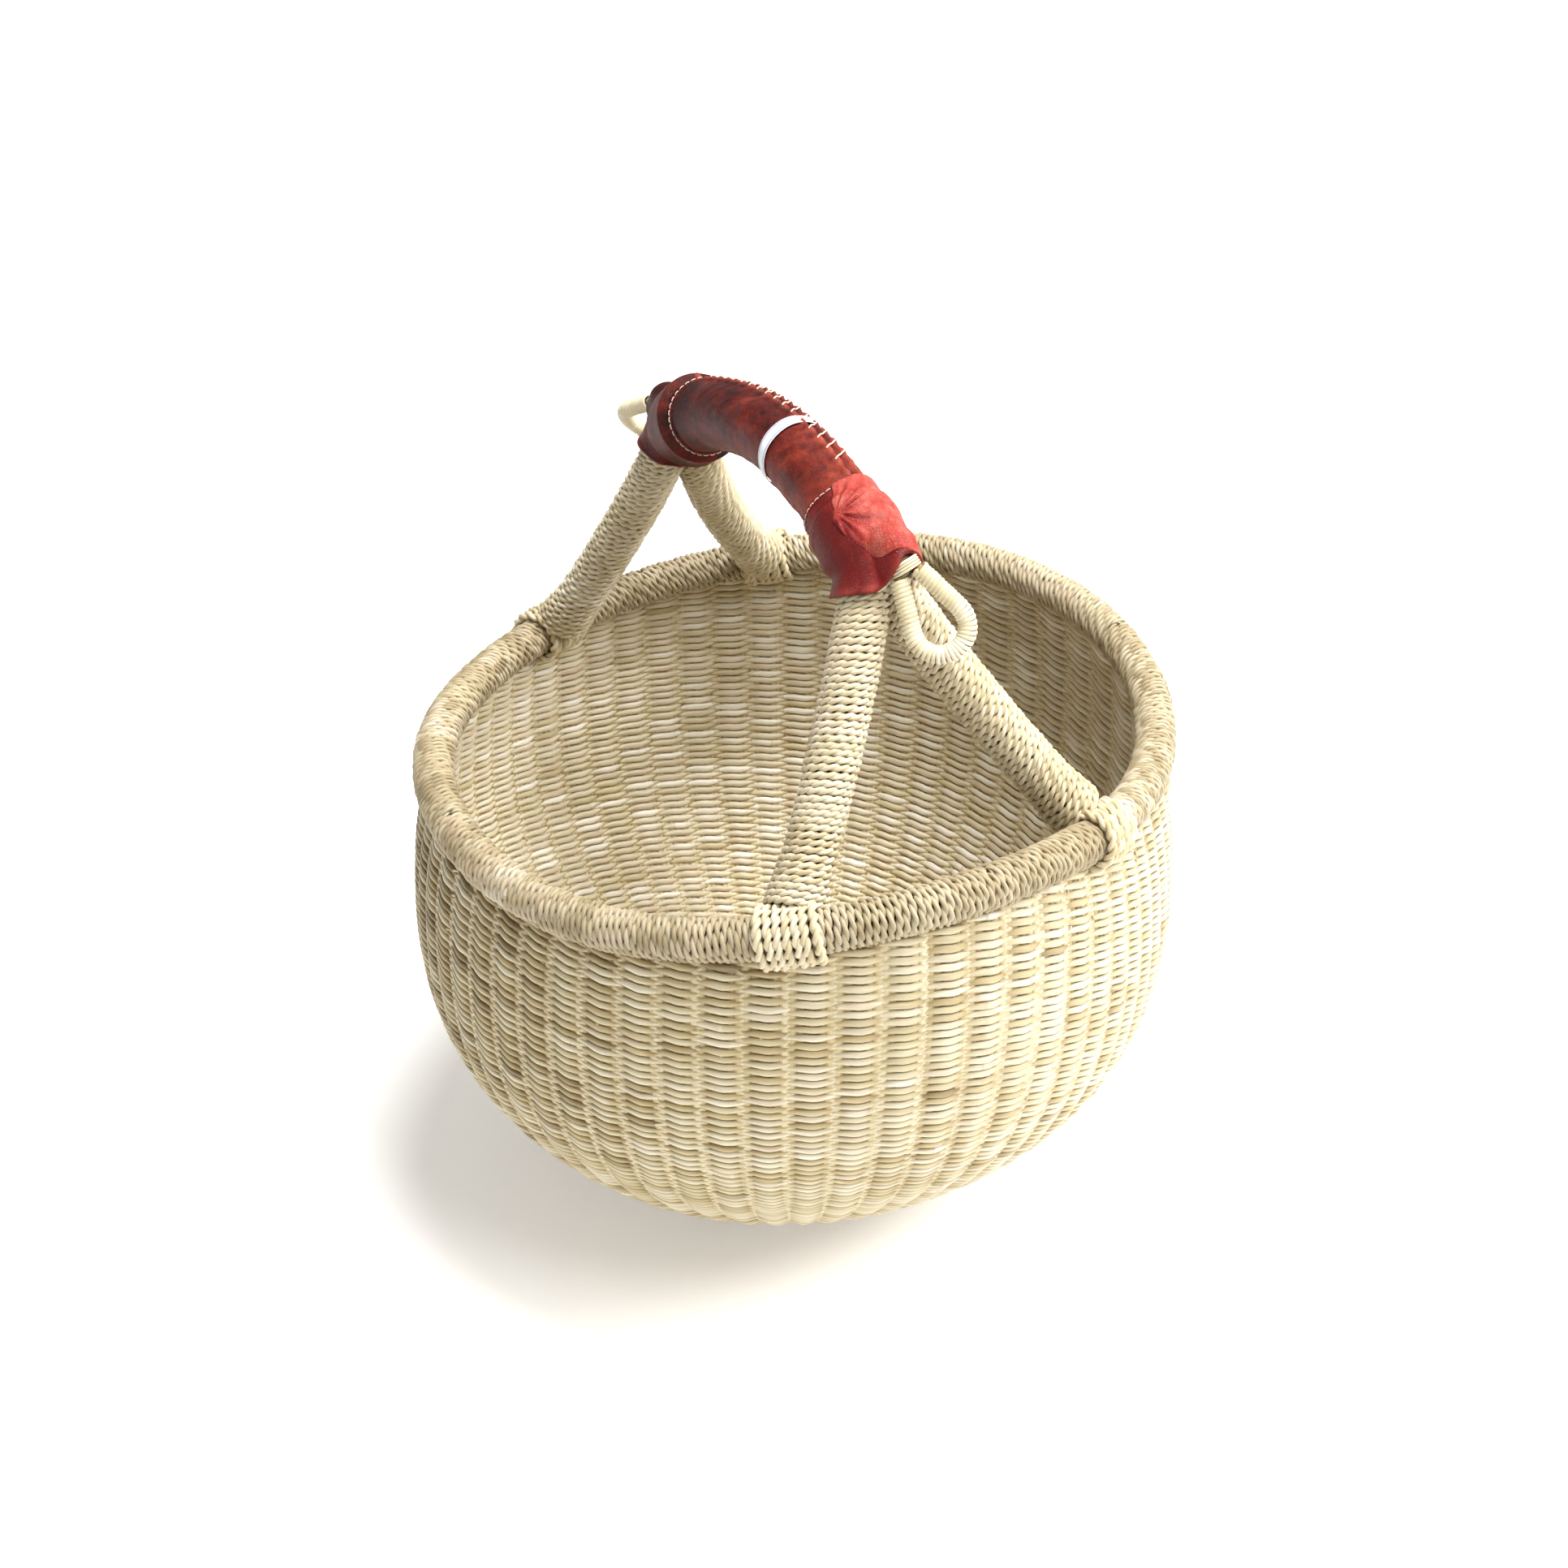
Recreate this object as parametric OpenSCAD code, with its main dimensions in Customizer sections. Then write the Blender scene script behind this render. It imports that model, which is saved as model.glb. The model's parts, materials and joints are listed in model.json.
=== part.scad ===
// Round market basket woven from straw, with a four-legged wrapped handle and a leather grip.
// The origin is on the floor under the middle of the base. +Z is up and the handle's arch runs along X.

/* [Basket] */
// Mean radius of the rim, to the middle of its tube
rim_radius = 169; // [160:1:176]
// Mean height of the middle of the rim's tube above the floor
rim_height = 223; // [210:1:235]
// Thickness of the wrapped rim
rim_tube = 18.5; // [16:0.5:20]
// Thickness of the grass bundle inside the rim
rim_core_tube = 11; // [8:0.5:13]
// Radius of the flat base
base_radius = 66; // [60:1:72]
// Widest outer radius of the wall, below the rim
bulge_radius = 180; // [174:1:186]
// Thickness of the woven wall and base
wall_thick = 6; // [5:0.5:7]
// Number of upright stakes in the wall
stake_count = 63; // [56:1:70]
// Widest stake
stake_width = 7; // [5:0.5:8]
// Thickness of a stake
stake_thick = 2.6; // [2:0.2:3]

/* [Handle] */
// Height of the middle of the grip at the top of its arch
grip_top = 364; // [350:1:380]
// Half of the grip's length along X
grip_reach = 103; // [95:1:110]
// How far the grip's ends lie below its top
grip_drop = 36; // [30:1:42]
// Tilt of the hand-made handle, +X end up
grip_tilt = 3.8; // [0:0.1:5]
// Thickness of the middle of the grip over its leather
grip_tube = 31; // [29:0.5:33]
// Thickness of the +X end of the grip over its leather
grip_right_tube = 35; // [34:0.5:37]
// Thickness of the -X end of the grip over its leather
grip_left_tube = 38; // [35:0.5:39]
// Thickness of the leather
leather_thick = 1.5; // [1:0.25:2]
// Thickness of the grass bundle inside the grip
grip_core_tube = 20; // [16:0.5:23]
// Thickness of each wrapped leg
leg_tube = 22.5; // [20:0.5:24]
// Thickness of the grass bundle inside a leg
leg_core_tube = 13; // [10:0.5:15]
// Half of the angle between the two legs at the +X end, seen from above
right_spread = 25.2; // [22:0.1:29]
// Half of the angle between the two legs at the -X end, seen from above
left_spread = 19.7; // [17:0.1:24]

/* [Loops and trim] */
// Thickness of a loop's wrapped cord
loop_tube = 8; // [7:0.5:9]
// Thickness of the straw inside a loop's cord
loop_core_tube = 4; // [3:0.5:5]
// Radius of a loop's round end, to the middle of the cord
loop_radius = 11; // [9:0.5:12]
// From a loop's root to the middle of its round end
loop_length = 26; // [24:0.5:28]
// Thickness of the cord in the lashings
lash_tube = 4; // [3:0.5:4.5]
// Cords in one lashing
lash_count = 6; // [5:1:7]
// Width of the ribbon round the grip
label_width = 6; // [5:0.5:8]

/* [Hidden] */
$fn = 64;

// ---- small helpers ----
function unit(v) = v / norm(v);
// The part of v that is square to the unit vector u
function square_to(v, u) = v - (v * u) * u;

// Carries local X, Y and Z to the three unit vectors x, y and z, with the origin at p
module in_frame(p, x, y, z) {
    multmatrix([[x.x, y.x, z.x, p.x], [x.y, y.y, z.y, p.y], [x.z, y.z, z.z, p.z], [0, 0, 0, 1]]) children();
}

// A round rod from p to q
module rod(p, q, r) {
    z = unit(q - p);
    x = unit(square_to(abs(z.x) > 0.9 ? [0, 1, 0] : [1, 0, 0], z));
    in_frame(p, x, cross(z, x), z) cylinder(h = norm(q - p), r = r);
}

// A round rod from p to q that bows out by sag towards the vector side
module bowed_rod(p, q, sag, side, r) {
    chord = norm(q - p);
    radius = (chord * chord / 4 + sag * sag) / (2 * sag);
    half = asin(chord / (2 * radius));
    along = unit(q - p);
    out = unit(square_to(side, along));
    centre = (p + q) / 2 - out * (radius - sag);
    in_frame(centre, out, along, cross(out, along))
        rotate([0, 0, -half]) rotate_extrude(angle = 2 * half) translate([radius, 0]) circle(r);
}

// A tube that follows a list of rings of points, all with the same number of sides. With a second
// list it is hollow. A closed tube joins its last ring to its first; an open one is capped.
module ring_tube(outer, inner = [], closed = false) {
    rings = len(outer);
    sides = len(outer[0]);
    hollow = len(inner) > 0;
    points = concat([for (r = outer) each r], [for (r = inner) each r]);
    function at(i, k) = (i % rings) * sides + k % sides;
    function within(i, k) = rings * sides + at(i, k);
    spans = [0 : closed ? rings - 1 : rings - 2];
    skin = [for (i = spans) for (k = [0 : sides - 1])
        [at(i, k), at(i + 1, k), at(i + 1, k + 1), at(i, k + 1)]];
    bore = hollow ? [for (i = spans) for (k = [0 : sides - 1])
        [within(i, k), within(i, k + 1), within(i + 1, k + 1), within(i + 1, k)]] : [];
    last = rings - 1;
    caps = closed ? [] : hollow
        ? [for (k = [0 : sides - 1]) each [
            [at(0, k), at(0, k + 1), within(0, k + 1), within(0, k)],
            [at(last, k + 1), at(last, k), within(last, k), within(last, k + 1)]]]
        : [[for (k = [0 : sides - 1]) at(0, k)], [for (k = [sides - 1 : -1 : 0]) at(last, k)]];
    polyhedron(points, concat(skin, bore, caps), convexity = 6);
}
// A ring of points round p, square to the direction along, starting at the direction out
tube_sides = 12;
function tube_ring(p, along, out, r) = [for (k = [0 : tube_sides - 1]) let (t = 360 * k / tube_sides)
    p + r * (cos(t) * out - sin(t) * cross(along, out))];

// ---- the hand-made rim: a circle that is a little oval, wavy and uneven in height ----
function rim_r(a) = rim_radius * (1 + 0.034 * cos(2 * a) - 0.036 * sin(2 * a) - 0.016 * sin(3 * a)
    + 0.020 * cos(4 * a) - 0.007 * sin(4 * a));
function rim_z(a) = rim_height + 2 * cos(a) + 8 * sin(a) + 2.5 * cos(2 * a) - 5 * sin(2 * a)
    + 8 * cos(3 * a) + 1.3 * sin(3 * a) + 1.4 * cos(4 * a);
function rim_point(a) = [rim_r(a) * cos(a), rim_r(a) * sin(a), rim_z(a)];
function rim_tangent(a) = unit(rim_point(a + 1) - rim_point(a - 1));
function rim_out(a) = unit(square_to([cos(a), sin(a), 0], rim_tangent(a)));

rim_steps = 60;
rim_splice = 135;      // where the winding starts and ends
rim_splice_gap = 0.3;  // degrees left open there
function rim_ring(a, r) = tube_ring(rim_point(a), rim_tangent(a), rim_out(a), r);

// ---- the wall: outer surface by angle a and height share u, from the base (0) to the rim (1) ----
rim_seat = 10;       // how far the wall's nominal top lies below the middle of the rim
bulge_at = 0.8;      // height share of the widest place
bulge_power = 2.8;   // how quickly the wall turns upright
tuck = 127;          // how sharply the wall draws in above the widest place
wall_top = 1.02;     // height share at which the weave ends, just inside the rim
function profile_r(u) = u < bulge_at
    ? base_radius + (bulge_radius - base_radius) * (1 - pow(1 - u / bulge_at, bulge_power))
    : bulge_radius - tuck * pow(u - bulge_at, 2);
function wall_r(a, u) = profile_r(u) * (1 + pow(u, 1.5) * (rim_r(a) / rim_radius - 1));
function wall_z(a, u) = u * (rim_z(a) - rim_seat);
// Upward slope of the wall in the plane through the Z axis, as [outward, up]
function wall_rise(a, u) = let (h = 0.01)
    unit([wall_r(a, u + h) - wall_r(a, u), wall_z(a, u + h) - wall_z(a, u)]);
// A point that lies depth inside the outer surface and across to the side of it
function wall_point(a, u, depth, across = 0) = let (s = wall_rise(a, u),
    r = wall_r(a, u) - depth * s.y, z = wall_z(a, u) + depth * s.x)
    [r * cos(a) - across * sin(a), r * sin(a) + across * cos(a), z];

wall_steps = 60;
wall_rings = 15;
lower_band = 6;      // ring at which the lower band of the weave ends
middle_band = 11;    // ring at which the middle band of the weave ends

// ---- the handle ----
handle_shift = [-4, -10];  // the handle stands a little off the middle
top_bend = 22;            // half angle of the grip's wide middle arc
end_bend = 33;            // further turn of each tight end arc
// Radii of the middle arc and the end arcs, from the grip's reach and drop
s1 = sin(top_bend);
s2 = sin(top_bend + end_bend) - s1;
c1 = 1 - cos(top_bend);
c2 = cos(top_bend) - cos(top_bend + end_bend);
end_arc = (grip_drop * s1 - grip_reach * c1) / (c2 * s1 - s2 * c1);
top_arc = (grip_reach - end_arc * s2) / s1;

// Carries the grip's own frame, with its top at the origin, to its place
module at_grip() {
    translate([handle_shift.x, handle_shift.y, grip_top]) rotate([0, -grip_tilt, 0]) children();
}
function from_grip(x, y, z) = [
    handle_shift.x + x * cos(grip_tilt) - z * sin(grip_tilt),
    handle_shift.y + y,
    grip_top + x * sin(grip_tilt) + z * cos(grip_tilt)
];
// A point of the grip's middle line, in its own frame, t degrees of turn from its top
function grip_line(t) = let (s = sign(t), b = abs(t))
    b < top_bend ? [top_arc * sin(t), top_arc * (cos(t) - 1)]
    : [s * (top_arc * s1 + end_arc * (sin(b) - s1)), -top_arc * c1 - end_arc * (cos(top_bend) - cos(b))];

// A length of tube along the middle arc, from t1 to t2 degrees of turn, bored to the inner radius
module middle_tube(t1, t2, outer, inner) {
    translate([0, 0, -top_arc]) rotate([90, 0, 0]) rotate([0, 0, 90 - t2])
        rotate_extrude(angle = t2 - t1) translate([top_arc, 0]) ring(outer, inner);
}
// A length of tube along one end arc, side 1 at +X and -1 at -X
module end_tube(side, t1, t2, outer, inner) {
    c = [(top_arc - end_arc) * s1, -top_arc + (top_arc - end_arc) * cos(top_bend)];
    mirror([side < 0 ? 1 : 0, 0, 0]) translate([c.x, 0, c.y]) rotate([90, 0, 0]) rotate([0, 0, 90 - t2])
        rotate_extrude(angle = t2 - t1) translate([end_arc, 0]) ring(outer, inner);
}
module ring(outer, inner) {
    difference() {
        circle(outer);
        if (inner > 0) circle(inner);
    }
}

grip_end = top_bend + end_bend;   // degrees of turn at the ends of the grip
cuff_start = 30;                  // where the cuffs begin
cuff_end = grip_end - 13;         // where the cuffs and the leather end
middle_r = grip_tube / 2;         // outside of the leather sleeve along the middle
// and at the thicker ends
function end_r(side) = (side > 0 ? grip_right_tube : grip_left_tube) / 2;
function cuff_r(side) = end_r(side) + leather_thick;

// A tube along the whole grip. It starts skin inside the leather's outer face. With no inner
// radius given its wall has the thickness wall.
module sleeve(skin, inner, wall = 0) {
    at_grip() {
        middle_tube(-top_bend, top_bend, middle_r - skin, wall > 0 ? middle_r - skin - wall : inner);
        for (side = [-1, 1])
            end_tube(side, top_bend, cuff_end, end_r(side) - skin,
                wall > 0 ? end_r(side) - skin - wall : inner);
    }
}

// ---- the legs: side 1 is the +X end, way 1 is +Y ----
function leg_gap(side) = side > 0 ? 4 : 6.5;   // from the grip's middle line to each leg's top
leg_back = 6;       // and this far back from the grip's end
leg_lap = 8;       // beyond its top, a leg runs this far up inside the grip
foot_in = 7;        // a leg's foot stands this far inside the middle of the rim
foot_up = 4;        // and this far above it
function spread(side) = side > 0 ? right_spread : left_spread;
function foot_angle(side, way) = side > 0 ? way * right_spread : 180 - way * left_spread;
function grip_tangent(side) = let (b = grip_end) [side * cos(b), -sin(b)];
function leg_joint(side, way) = let (e = grip_line(side * grip_end), t = grip_tangent(side))
    from_grip(e.x - leg_back * t.x, way * leg_gap(side), e.y - leg_back * t.y);
function leg_top(side, way) = let (p = leg_foot(side, way), q = leg_joint(side, way))
    q + leg_lap * unit(q - p);
function leg_foot(side, way) = let (a = foot_angle(side, way))
    rim_point(a) - foot_in * [cos(a), sin(a), 0] + [0, 0, foot_up];
// How far each leg bows towards the middle of the basket's opening
function leg_bow(side, way) = side < 0 && way > 0 ? 7 : 3;

// A leg as a bowed rod, cut where it would cross the other leg of its pair or reach past the rim's core
module leg_rod(side, way, r) {
    p = leg_foot(side, way);
    q = leg_top(side, way);
    big = 400;
    difference() {
        bowed_rod(p, q, leg_bow(side, way), [0, -way, -0.6], r);
        translate([-big, way > 0 ? handle_shift.y - 2 * big : handle_shift.y, -big / 2])
            cube([2 * big, 2 * big, 3 * big]);
    }
}

// ---- loops: local Z points up to the root, Y is the hinge's axis, X faces away from the basket ----
loop_gap = 0.5;           // clearance between a loop's knot and its seat
seat_length = 15;
strand_gap = loop_tube / 2 + 0.2;   // half the distance between the strands at the root
strand_start = 1;         // the strands start this far below the hinge's axis, inside the knot
// Angle by which the straight strands spread to meet the round end
loop_spread = asin(loop_radius / norm([strand_gap, loop_length])) - atan(strand_gap / loop_length);

// Root, direction and side of each loop as it rests
root_back = 8.5;   // the root lies this far back from the grip's end
root_out = 19.8;    // this far out from the grip's middle line
root_side = 3;     // and this far to the side
root_drop = 6;     // and this far along the loop
function loop_root(side) = let (e = grip_line(side * grip_end), t = grip_tangent(side))
    from_grip(e.x - root_back * t.x - side * root_out * t.y, side * root_side,
        e.y - root_back * t.y + side * root_out * t.x) + root_drop * loop_down(side);
function loop_down(side) = unit(side > 0 ? [0.50, 0.33, -0.80] : [-0.80, 0.05, -0.60]);
function loop_side(side) = unit(square_to(side > 0 ? [0.22, 0.82, 0.53] : [-0.25, -0.75, 0.60],
    loop_down(side)));

module at_loop(side) {
    up = -loop_down(side);
    y = loop_side(side);
    in_frame(loop_root(side), cross(y, up), y, up) children();
}

// The rings of a teardrop of cord: down one strand, round the end and up the other
arc_steps = 14;
function teardrop(r) = let (x = [1, 0, 0],
    turns = [for (j = [0 : arc_steps]) loop_spread - j * (180 + 2 * loop_spread) / arc_steps],
    first = [0, sin(loop_spread), -cos(loop_spread)], last = [0, sin(loop_spread), cos(loop_spread)])
    concat([tube_ring([0, strand_gap, -strand_start], first, x, r)],
        [for (t = turns) tube_ring([0, loop_radius * cos(t), loop_radius * sin(t) - loop_length],
            [0, sin(t), -cos(t)], x, r)],
        [tube_ring([0, -strand_gap, -strand_start], last, x, r)]);

// ---- pieces ----
module base_weave() {
    color("#cdb88d") cylinder(h = wall_thick, r = base_radius);
}

// Crossing bundles at the middle of the base, a little proud inside the basket
module base_spokes() {
    spoke_pairs = 5;
    spoke_width = 7;
    color("#d8c79f") for (i = [0 : spoke_pairs - 1]) rotate([0, 0, 180 * i / spoke_pairs])
        translate([-base_radius + 6, -spoke_width / 2, 2])
            cube([2 * base_radius - 12, spoke_width, wall_thick - 1]);
}

// One band of the wall's weave, from one ring of the wall to another
module wall_weave(first, last) {
    points = [for (i = [first : last]) for (depth = [0, wall_thick]) for (k = [0 : wall_steps - 1])
        wall_point(360 * k / wall_steps, wall_top * pow(i / wall_rings, 1.25), depth)];
    top = last - first;
    function at(i, layer, k) = (2 * i + layer) * wall_steps + k % wall_steps;
    sides = [for (i = [0 : top - 1]) for (k = [0 : wall_steps - 1]) each [
        [at(i, 0, k), at(i + 1, 0, k), at(i + 1, 0, k + 1), at(i, 0, k + 1)],
        [at(i, 1, k), at(i, 1, k + 1), at(i + 1, 1, k + 1), at(i + 1, 1, k)]]];
    edges = [for (k = [0 : wall_steps - 1]) each [
        [at(0, 0, k), at(0, 0, k + 1), at(0, 1, k + 1), at(0, 1, k)],
        [at(top, 0, k), at(top, 1, k), at(top, 1, k + 1), at(top, 0, k + 1)]]];
    color("#d9c79c") polyhedron(points, concat(sides, edges), convexity = 6);
}

// One flat upright bundle, inside the wall
module stake(a) {
    rings = 8;
    lowest = 0.03;
    highest = 1.01;
    points = [for (i = [0 : rings]) let (u = lowest + (highest - lowest) * pow(i / rings, 1.2),
        w = min(stake_width, 0.8 * 2 * PI * wall_r(a, u) / stake_count) / 2,
        d = (wall_thick - stake_thick) / 2)
        each [wall_point(a, u, d, -w), wall_point(a, u, d, w),
            wall_point(a, u, d + stake_thick, w), wall_point(a, u, d + stake_thick, -w)]];
    faces = [for (i = [0 : rings - 1]) for (k = [0 : 3]) let (k2 = (k + 1) % 4)
        [4 * i + k, 4 * i + 4 + k, 4 * i + 4 + k2, 4 * i + k2]];
    ends = [[0, 1, 2, 3], [4 * rings + 3, 4 * rings + 2, 4 * rings + 1, 4 * rings]];
    polyhedron(points, concat(faces, ends));
}

module wall_stakes() {
    color("#e2d3ab") for (i = [0 : stake_count - 1]) stake(360 * i / stake_count);
}

module rim_core() {
    color("#bda878") ring_tube([for (i = [0 : rim_steps - 1])
        rim_ring(rim_splice + 360 * i / rim_steps, rim_core_tube / 2)], closed = true);
}

module rim_wrap() {
    angles = [for (i = [0 : rim_steps])
        rim_splice + rim_splice_gap / 2 + (360 - rim_splice_gap) * i / rim_steps];
    color("#e0d2ac") ring_tube([for (a = angles) rim_ring(a, rim_tube / 2)],
        [for (a = angles) rim_ring(a, rim_core_tube / 2)]);
}

module leg_core(side, way) {
    color("#bda878") leg_rod(side, way, leg_core_tube / 2);
}

module leg_wrap(side, way) {
    color("#dccda5") difference() {
        leg_rod(side, way, leg_tube / 2);
        leg_rod(side, way, leg_core_tube / 2);
    }
}

// Cord rings side by side round the rim at a leg's foot
module lashing(side, way) {
    foot = foot_angle(side, way);
    pitch = lash_tube + 0.5;
    color("#e6dab8") for (i = [0 : lash_count - 1]) {
        a = foot + (i - (lash_count - 1) / 2) * pitch / rim_radius * 180 / PI;
        in_frame(rim_point(a), rim_out(a), cross(rim_tangent(a), rim_out(a)), rim_tangent(a))
            rotate_extrude() translate([rim_tube / 2 + lash_tube / 2, 0]) circle(lash_tube / 2);
    }
}

module grip_core() {
    color("#bda878") at_grip() {
        middle_tube(-top_bend, top_bend, grip_core_tube / 2, 0);
        for (side = [-1, 1]) end_tube(side, top_bend, cuff_end, grip_core_tube / 2, 0);
    }
}

module grip_padding() {
    color("#cdb88d") sleeve(leather_thick, grip_core_tube / 2);
}

module grip_leather() {
    color("#7c2420") sleeve(0, 0, leather_thick);
}

module cuff(side, colour) {
    color(colour) at_grip() end_tube(side, cuff_start, cuff_end, cuff_r(side), end_r(side));
}

// Thread along the sleeve's seam, on the upper outer side of the grip
module seam_lacing() {
    seam_turn = 38;   // degrees that the seam leans from the top towards +Y
    thread_r = 0.8;
    seam_r = middle_r + 0.4;
    color("#c9a27c") at_grip() translate([0, seam_r * sin(seam_turn), -top_arc]) rotate([90, 0, 0])
        rotate([0, 0, 90 - top_bend]) rotate_extrude(angle = 2 * top_bend)
            translate([top_arc + seam_r * cos(seam_turn), 0]) circle(thread_r);
}

// A ring of thread round a cuff
module cuff_stitch(side) {
    thread_r = 0.6;
    color("#c9a27c") at_grip()
        end_tube(side, cuff_start + 4, cuff_start + 5, cuff_r(side) + thread_r, cuff_r(side));
}

module label_band() {
    label_turn = 7;   // degrees of turn from the grip's top towards +X
    half = label_width / 2 / top_arc * 180 / PI;
    color("white") at_grip() middle_tube(label_turn - half, label_turn + half, middle_r + 0.6, middle_r);
}

module loop_core(side) {
    color("#bda878") at_loop(side) ring_tube(teardrop(loop_core_tube / 2));
}

module loop_wrap(side) {
    color("#ece2c6") at_loop(side) ring_tube(teardrop(loop_tube / 2), teardrop(loop_core_tube / 2));
}

// The binding that holds the two strands together and turns in the leather's edge
module loop_knot(side) {
    half = strand_gap + loop_tube / 2;
    color("#ece2c6") at_loop(side) rod([0, -half, 0], [0, half, 0], loop_tube / 2);
}

// The ends of a loop's cord, gripped under the cuff
module loop_seat(side) {
    reach = loop_tube / 2 + loop_gap;
    color("#ece2c6") at_loop(side) for (s = [-1, 1])
        rod([0, s * strand_gap, reach], [0, s * strand_gap, reach + seat_length], loop_tube / 2);
}

base_weave();
base_spokes();
wall_stakes();
wall_weave(0, lower_band);  // lower_wall_weave
wall_weave(lower_band, middle_band);  // middle_wall_weave
wall_weave(middle_band, wall_rings);  // upper_wall_weave
rim_core();
rim_wrap();
leg_core(1, -1);  // right_front_leg_core
leg_wrap(1, -1);  // right_front_leg_wrap
leg_core(1, 1);  // right_back_leg_core
leg_wrap(1, 1);  // right_back_leg_wrap
leg_core(-1, -1);  // left_front_leg_core
leg_wrap(-1, -1);  // left_front_leg_wrap
leg_core(-1, 1);  // left_back_leg_core
leg_wrap(-1, 1);  // left_back_leg_wrap
lashing(1, -1);  // right_front_lashing
lashing(1, 1);  // right_back_lashing
lashing(-1, -1);  // left_front_lashing
lashing(-1, 1);  // left_back_lashing
grip_core();
grip_padding();
grip_leather();
cuff(1, "#c23a32");  // right_cuff
cuff(-1, "#6a1d1b");  // left_cuff
seam_lacing();
cuff_stitch(1);  // right_cuff_stitch
cuff_stitch(-1);  // left_cuff_stitch
label_band();
loop_core(1);  // right_loop_core
loop_wrap(1);  // right_loop_wrap
loop_knot(1);  // right_loop_knot
loop_seat(1);  // right_loop_seat
loop_core(-1);  // left_loop_core
loop_wrap(-1);  // left_loop_wrap
loop_knot(-1);  // left_loop_knot
loop_seat(-1);  // left_loop_seat
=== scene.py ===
import json
import math

import bpy
import numpy as np
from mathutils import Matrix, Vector
from mathutils.bvhtree import BVHTree


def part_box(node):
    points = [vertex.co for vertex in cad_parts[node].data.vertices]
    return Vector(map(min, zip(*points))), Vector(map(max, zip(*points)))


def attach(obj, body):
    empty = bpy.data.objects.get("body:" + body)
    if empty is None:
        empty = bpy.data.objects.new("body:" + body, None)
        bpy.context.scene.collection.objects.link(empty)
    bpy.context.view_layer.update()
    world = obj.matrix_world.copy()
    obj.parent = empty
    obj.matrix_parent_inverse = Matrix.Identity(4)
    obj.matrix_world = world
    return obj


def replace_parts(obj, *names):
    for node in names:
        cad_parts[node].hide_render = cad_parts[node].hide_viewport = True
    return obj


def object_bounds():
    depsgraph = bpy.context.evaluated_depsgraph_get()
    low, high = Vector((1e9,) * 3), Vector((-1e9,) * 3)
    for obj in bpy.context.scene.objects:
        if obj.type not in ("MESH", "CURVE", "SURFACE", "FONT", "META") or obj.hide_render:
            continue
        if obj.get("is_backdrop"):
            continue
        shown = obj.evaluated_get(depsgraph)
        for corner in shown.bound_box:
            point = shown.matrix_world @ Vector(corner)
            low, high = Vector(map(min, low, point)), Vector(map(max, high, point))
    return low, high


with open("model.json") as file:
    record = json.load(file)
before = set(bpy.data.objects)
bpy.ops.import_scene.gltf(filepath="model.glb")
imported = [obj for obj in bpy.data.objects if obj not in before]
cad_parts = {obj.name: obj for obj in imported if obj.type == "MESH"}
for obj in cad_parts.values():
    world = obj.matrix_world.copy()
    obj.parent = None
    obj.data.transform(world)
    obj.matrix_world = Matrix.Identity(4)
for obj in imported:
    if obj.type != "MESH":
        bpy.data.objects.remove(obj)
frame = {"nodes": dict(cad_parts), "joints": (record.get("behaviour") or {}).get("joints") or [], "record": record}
CAD_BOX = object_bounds()
NODES = frame["nodes"]
RECORD = frame["record"]
MM = 0.001
seeded = np.random.default_rng
RNG = seeded(7)
UP = np.array([0.0, 0.0, 1.0])
TAU = 2 * math.pi
SCENE = bpy.context.scene

# ---- camera
CAMERA_AZIMUTH = math.radians(65.37)
CAMERA_ELEVATION = math.radians(29.27)
CAMERA_DISTANCE = 1.2356
CAMERA_TARGET = np.array([-4.43, -3.46, 192.19]) * MM
CAMERA_LENS = 62.33
SENSOR_WIDTH = 36

cam_data = bpy.data.cameras.new("camera")
cam_data.lens = CAMERA_LENS
cam_data.sensor_width = SENSOR_WIDTH
cam = bpy.data.objects.new("camera", cam_data)
SCENE.collection.objects.link(cam)
back = np.array([
    math.sin(CAMERA_AZIMUTH) * math.cos(CAMERA_ELEVATION),
    -math.cos(CAMERA_AZIMUTH) * math.cos(CAMERA_ELEVATION),
    math.sin(CAMERA_ELEVATION)])
cam.location = Vector(CAMERA_TARGET + back * CAMERA_DISTANCE)
cam.rotation_euler = Vector(-back).to_track_quat("-Z", "Y").to_euler()
cam_data.clip_start = 0.01
SCENE.camera = cam


# ---- small maths
def unit(v):
    return v / np.maximum(np.linalg.norm(v, axis=-1, keepdims=True), 1e-12)


def outward(normal, binormal, angle):
    """The way out from a line, at an angle round it."""
    return normal * np.cos(angle)[..., None] + binormal * np.sin(angle)[..., None]


def turn_gap(angle, centre):
    """Signed difference between two angles, from minus to plus half a turn."""
    return np.angle(np.exp(1j * (angle - centre)))


def bilinear(grid, x, y):
    """Value of a grid at a fractional row x and column y."""
    i = np.minimum(x.astype(int), grid.shape[0] - 2)
    j = np.minimum(y.astype(int), grid.shape[1] - 2)
    fx, fy = x - i, y - j
    if grid.ndim == 3:
        fx, fy = fx[..., None], fy[..., None]
    near = grid[i, j] * (1 - fx) + grid[i + 1, j] * fx
    far = grid[i, j + 1] * (1 - fx) + grid[i + 1, j + 1] * fx
    return near * (1 - fy) + far * fy


def bell(x, middle, width):
    return np.exp(-((x - middle) / width) ** 2)


def smooth_step(x, low, high):
    t = np.clip((x - low) / (high - low), 0, 1)
    return t * t * (3 - 2 * t)


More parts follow.
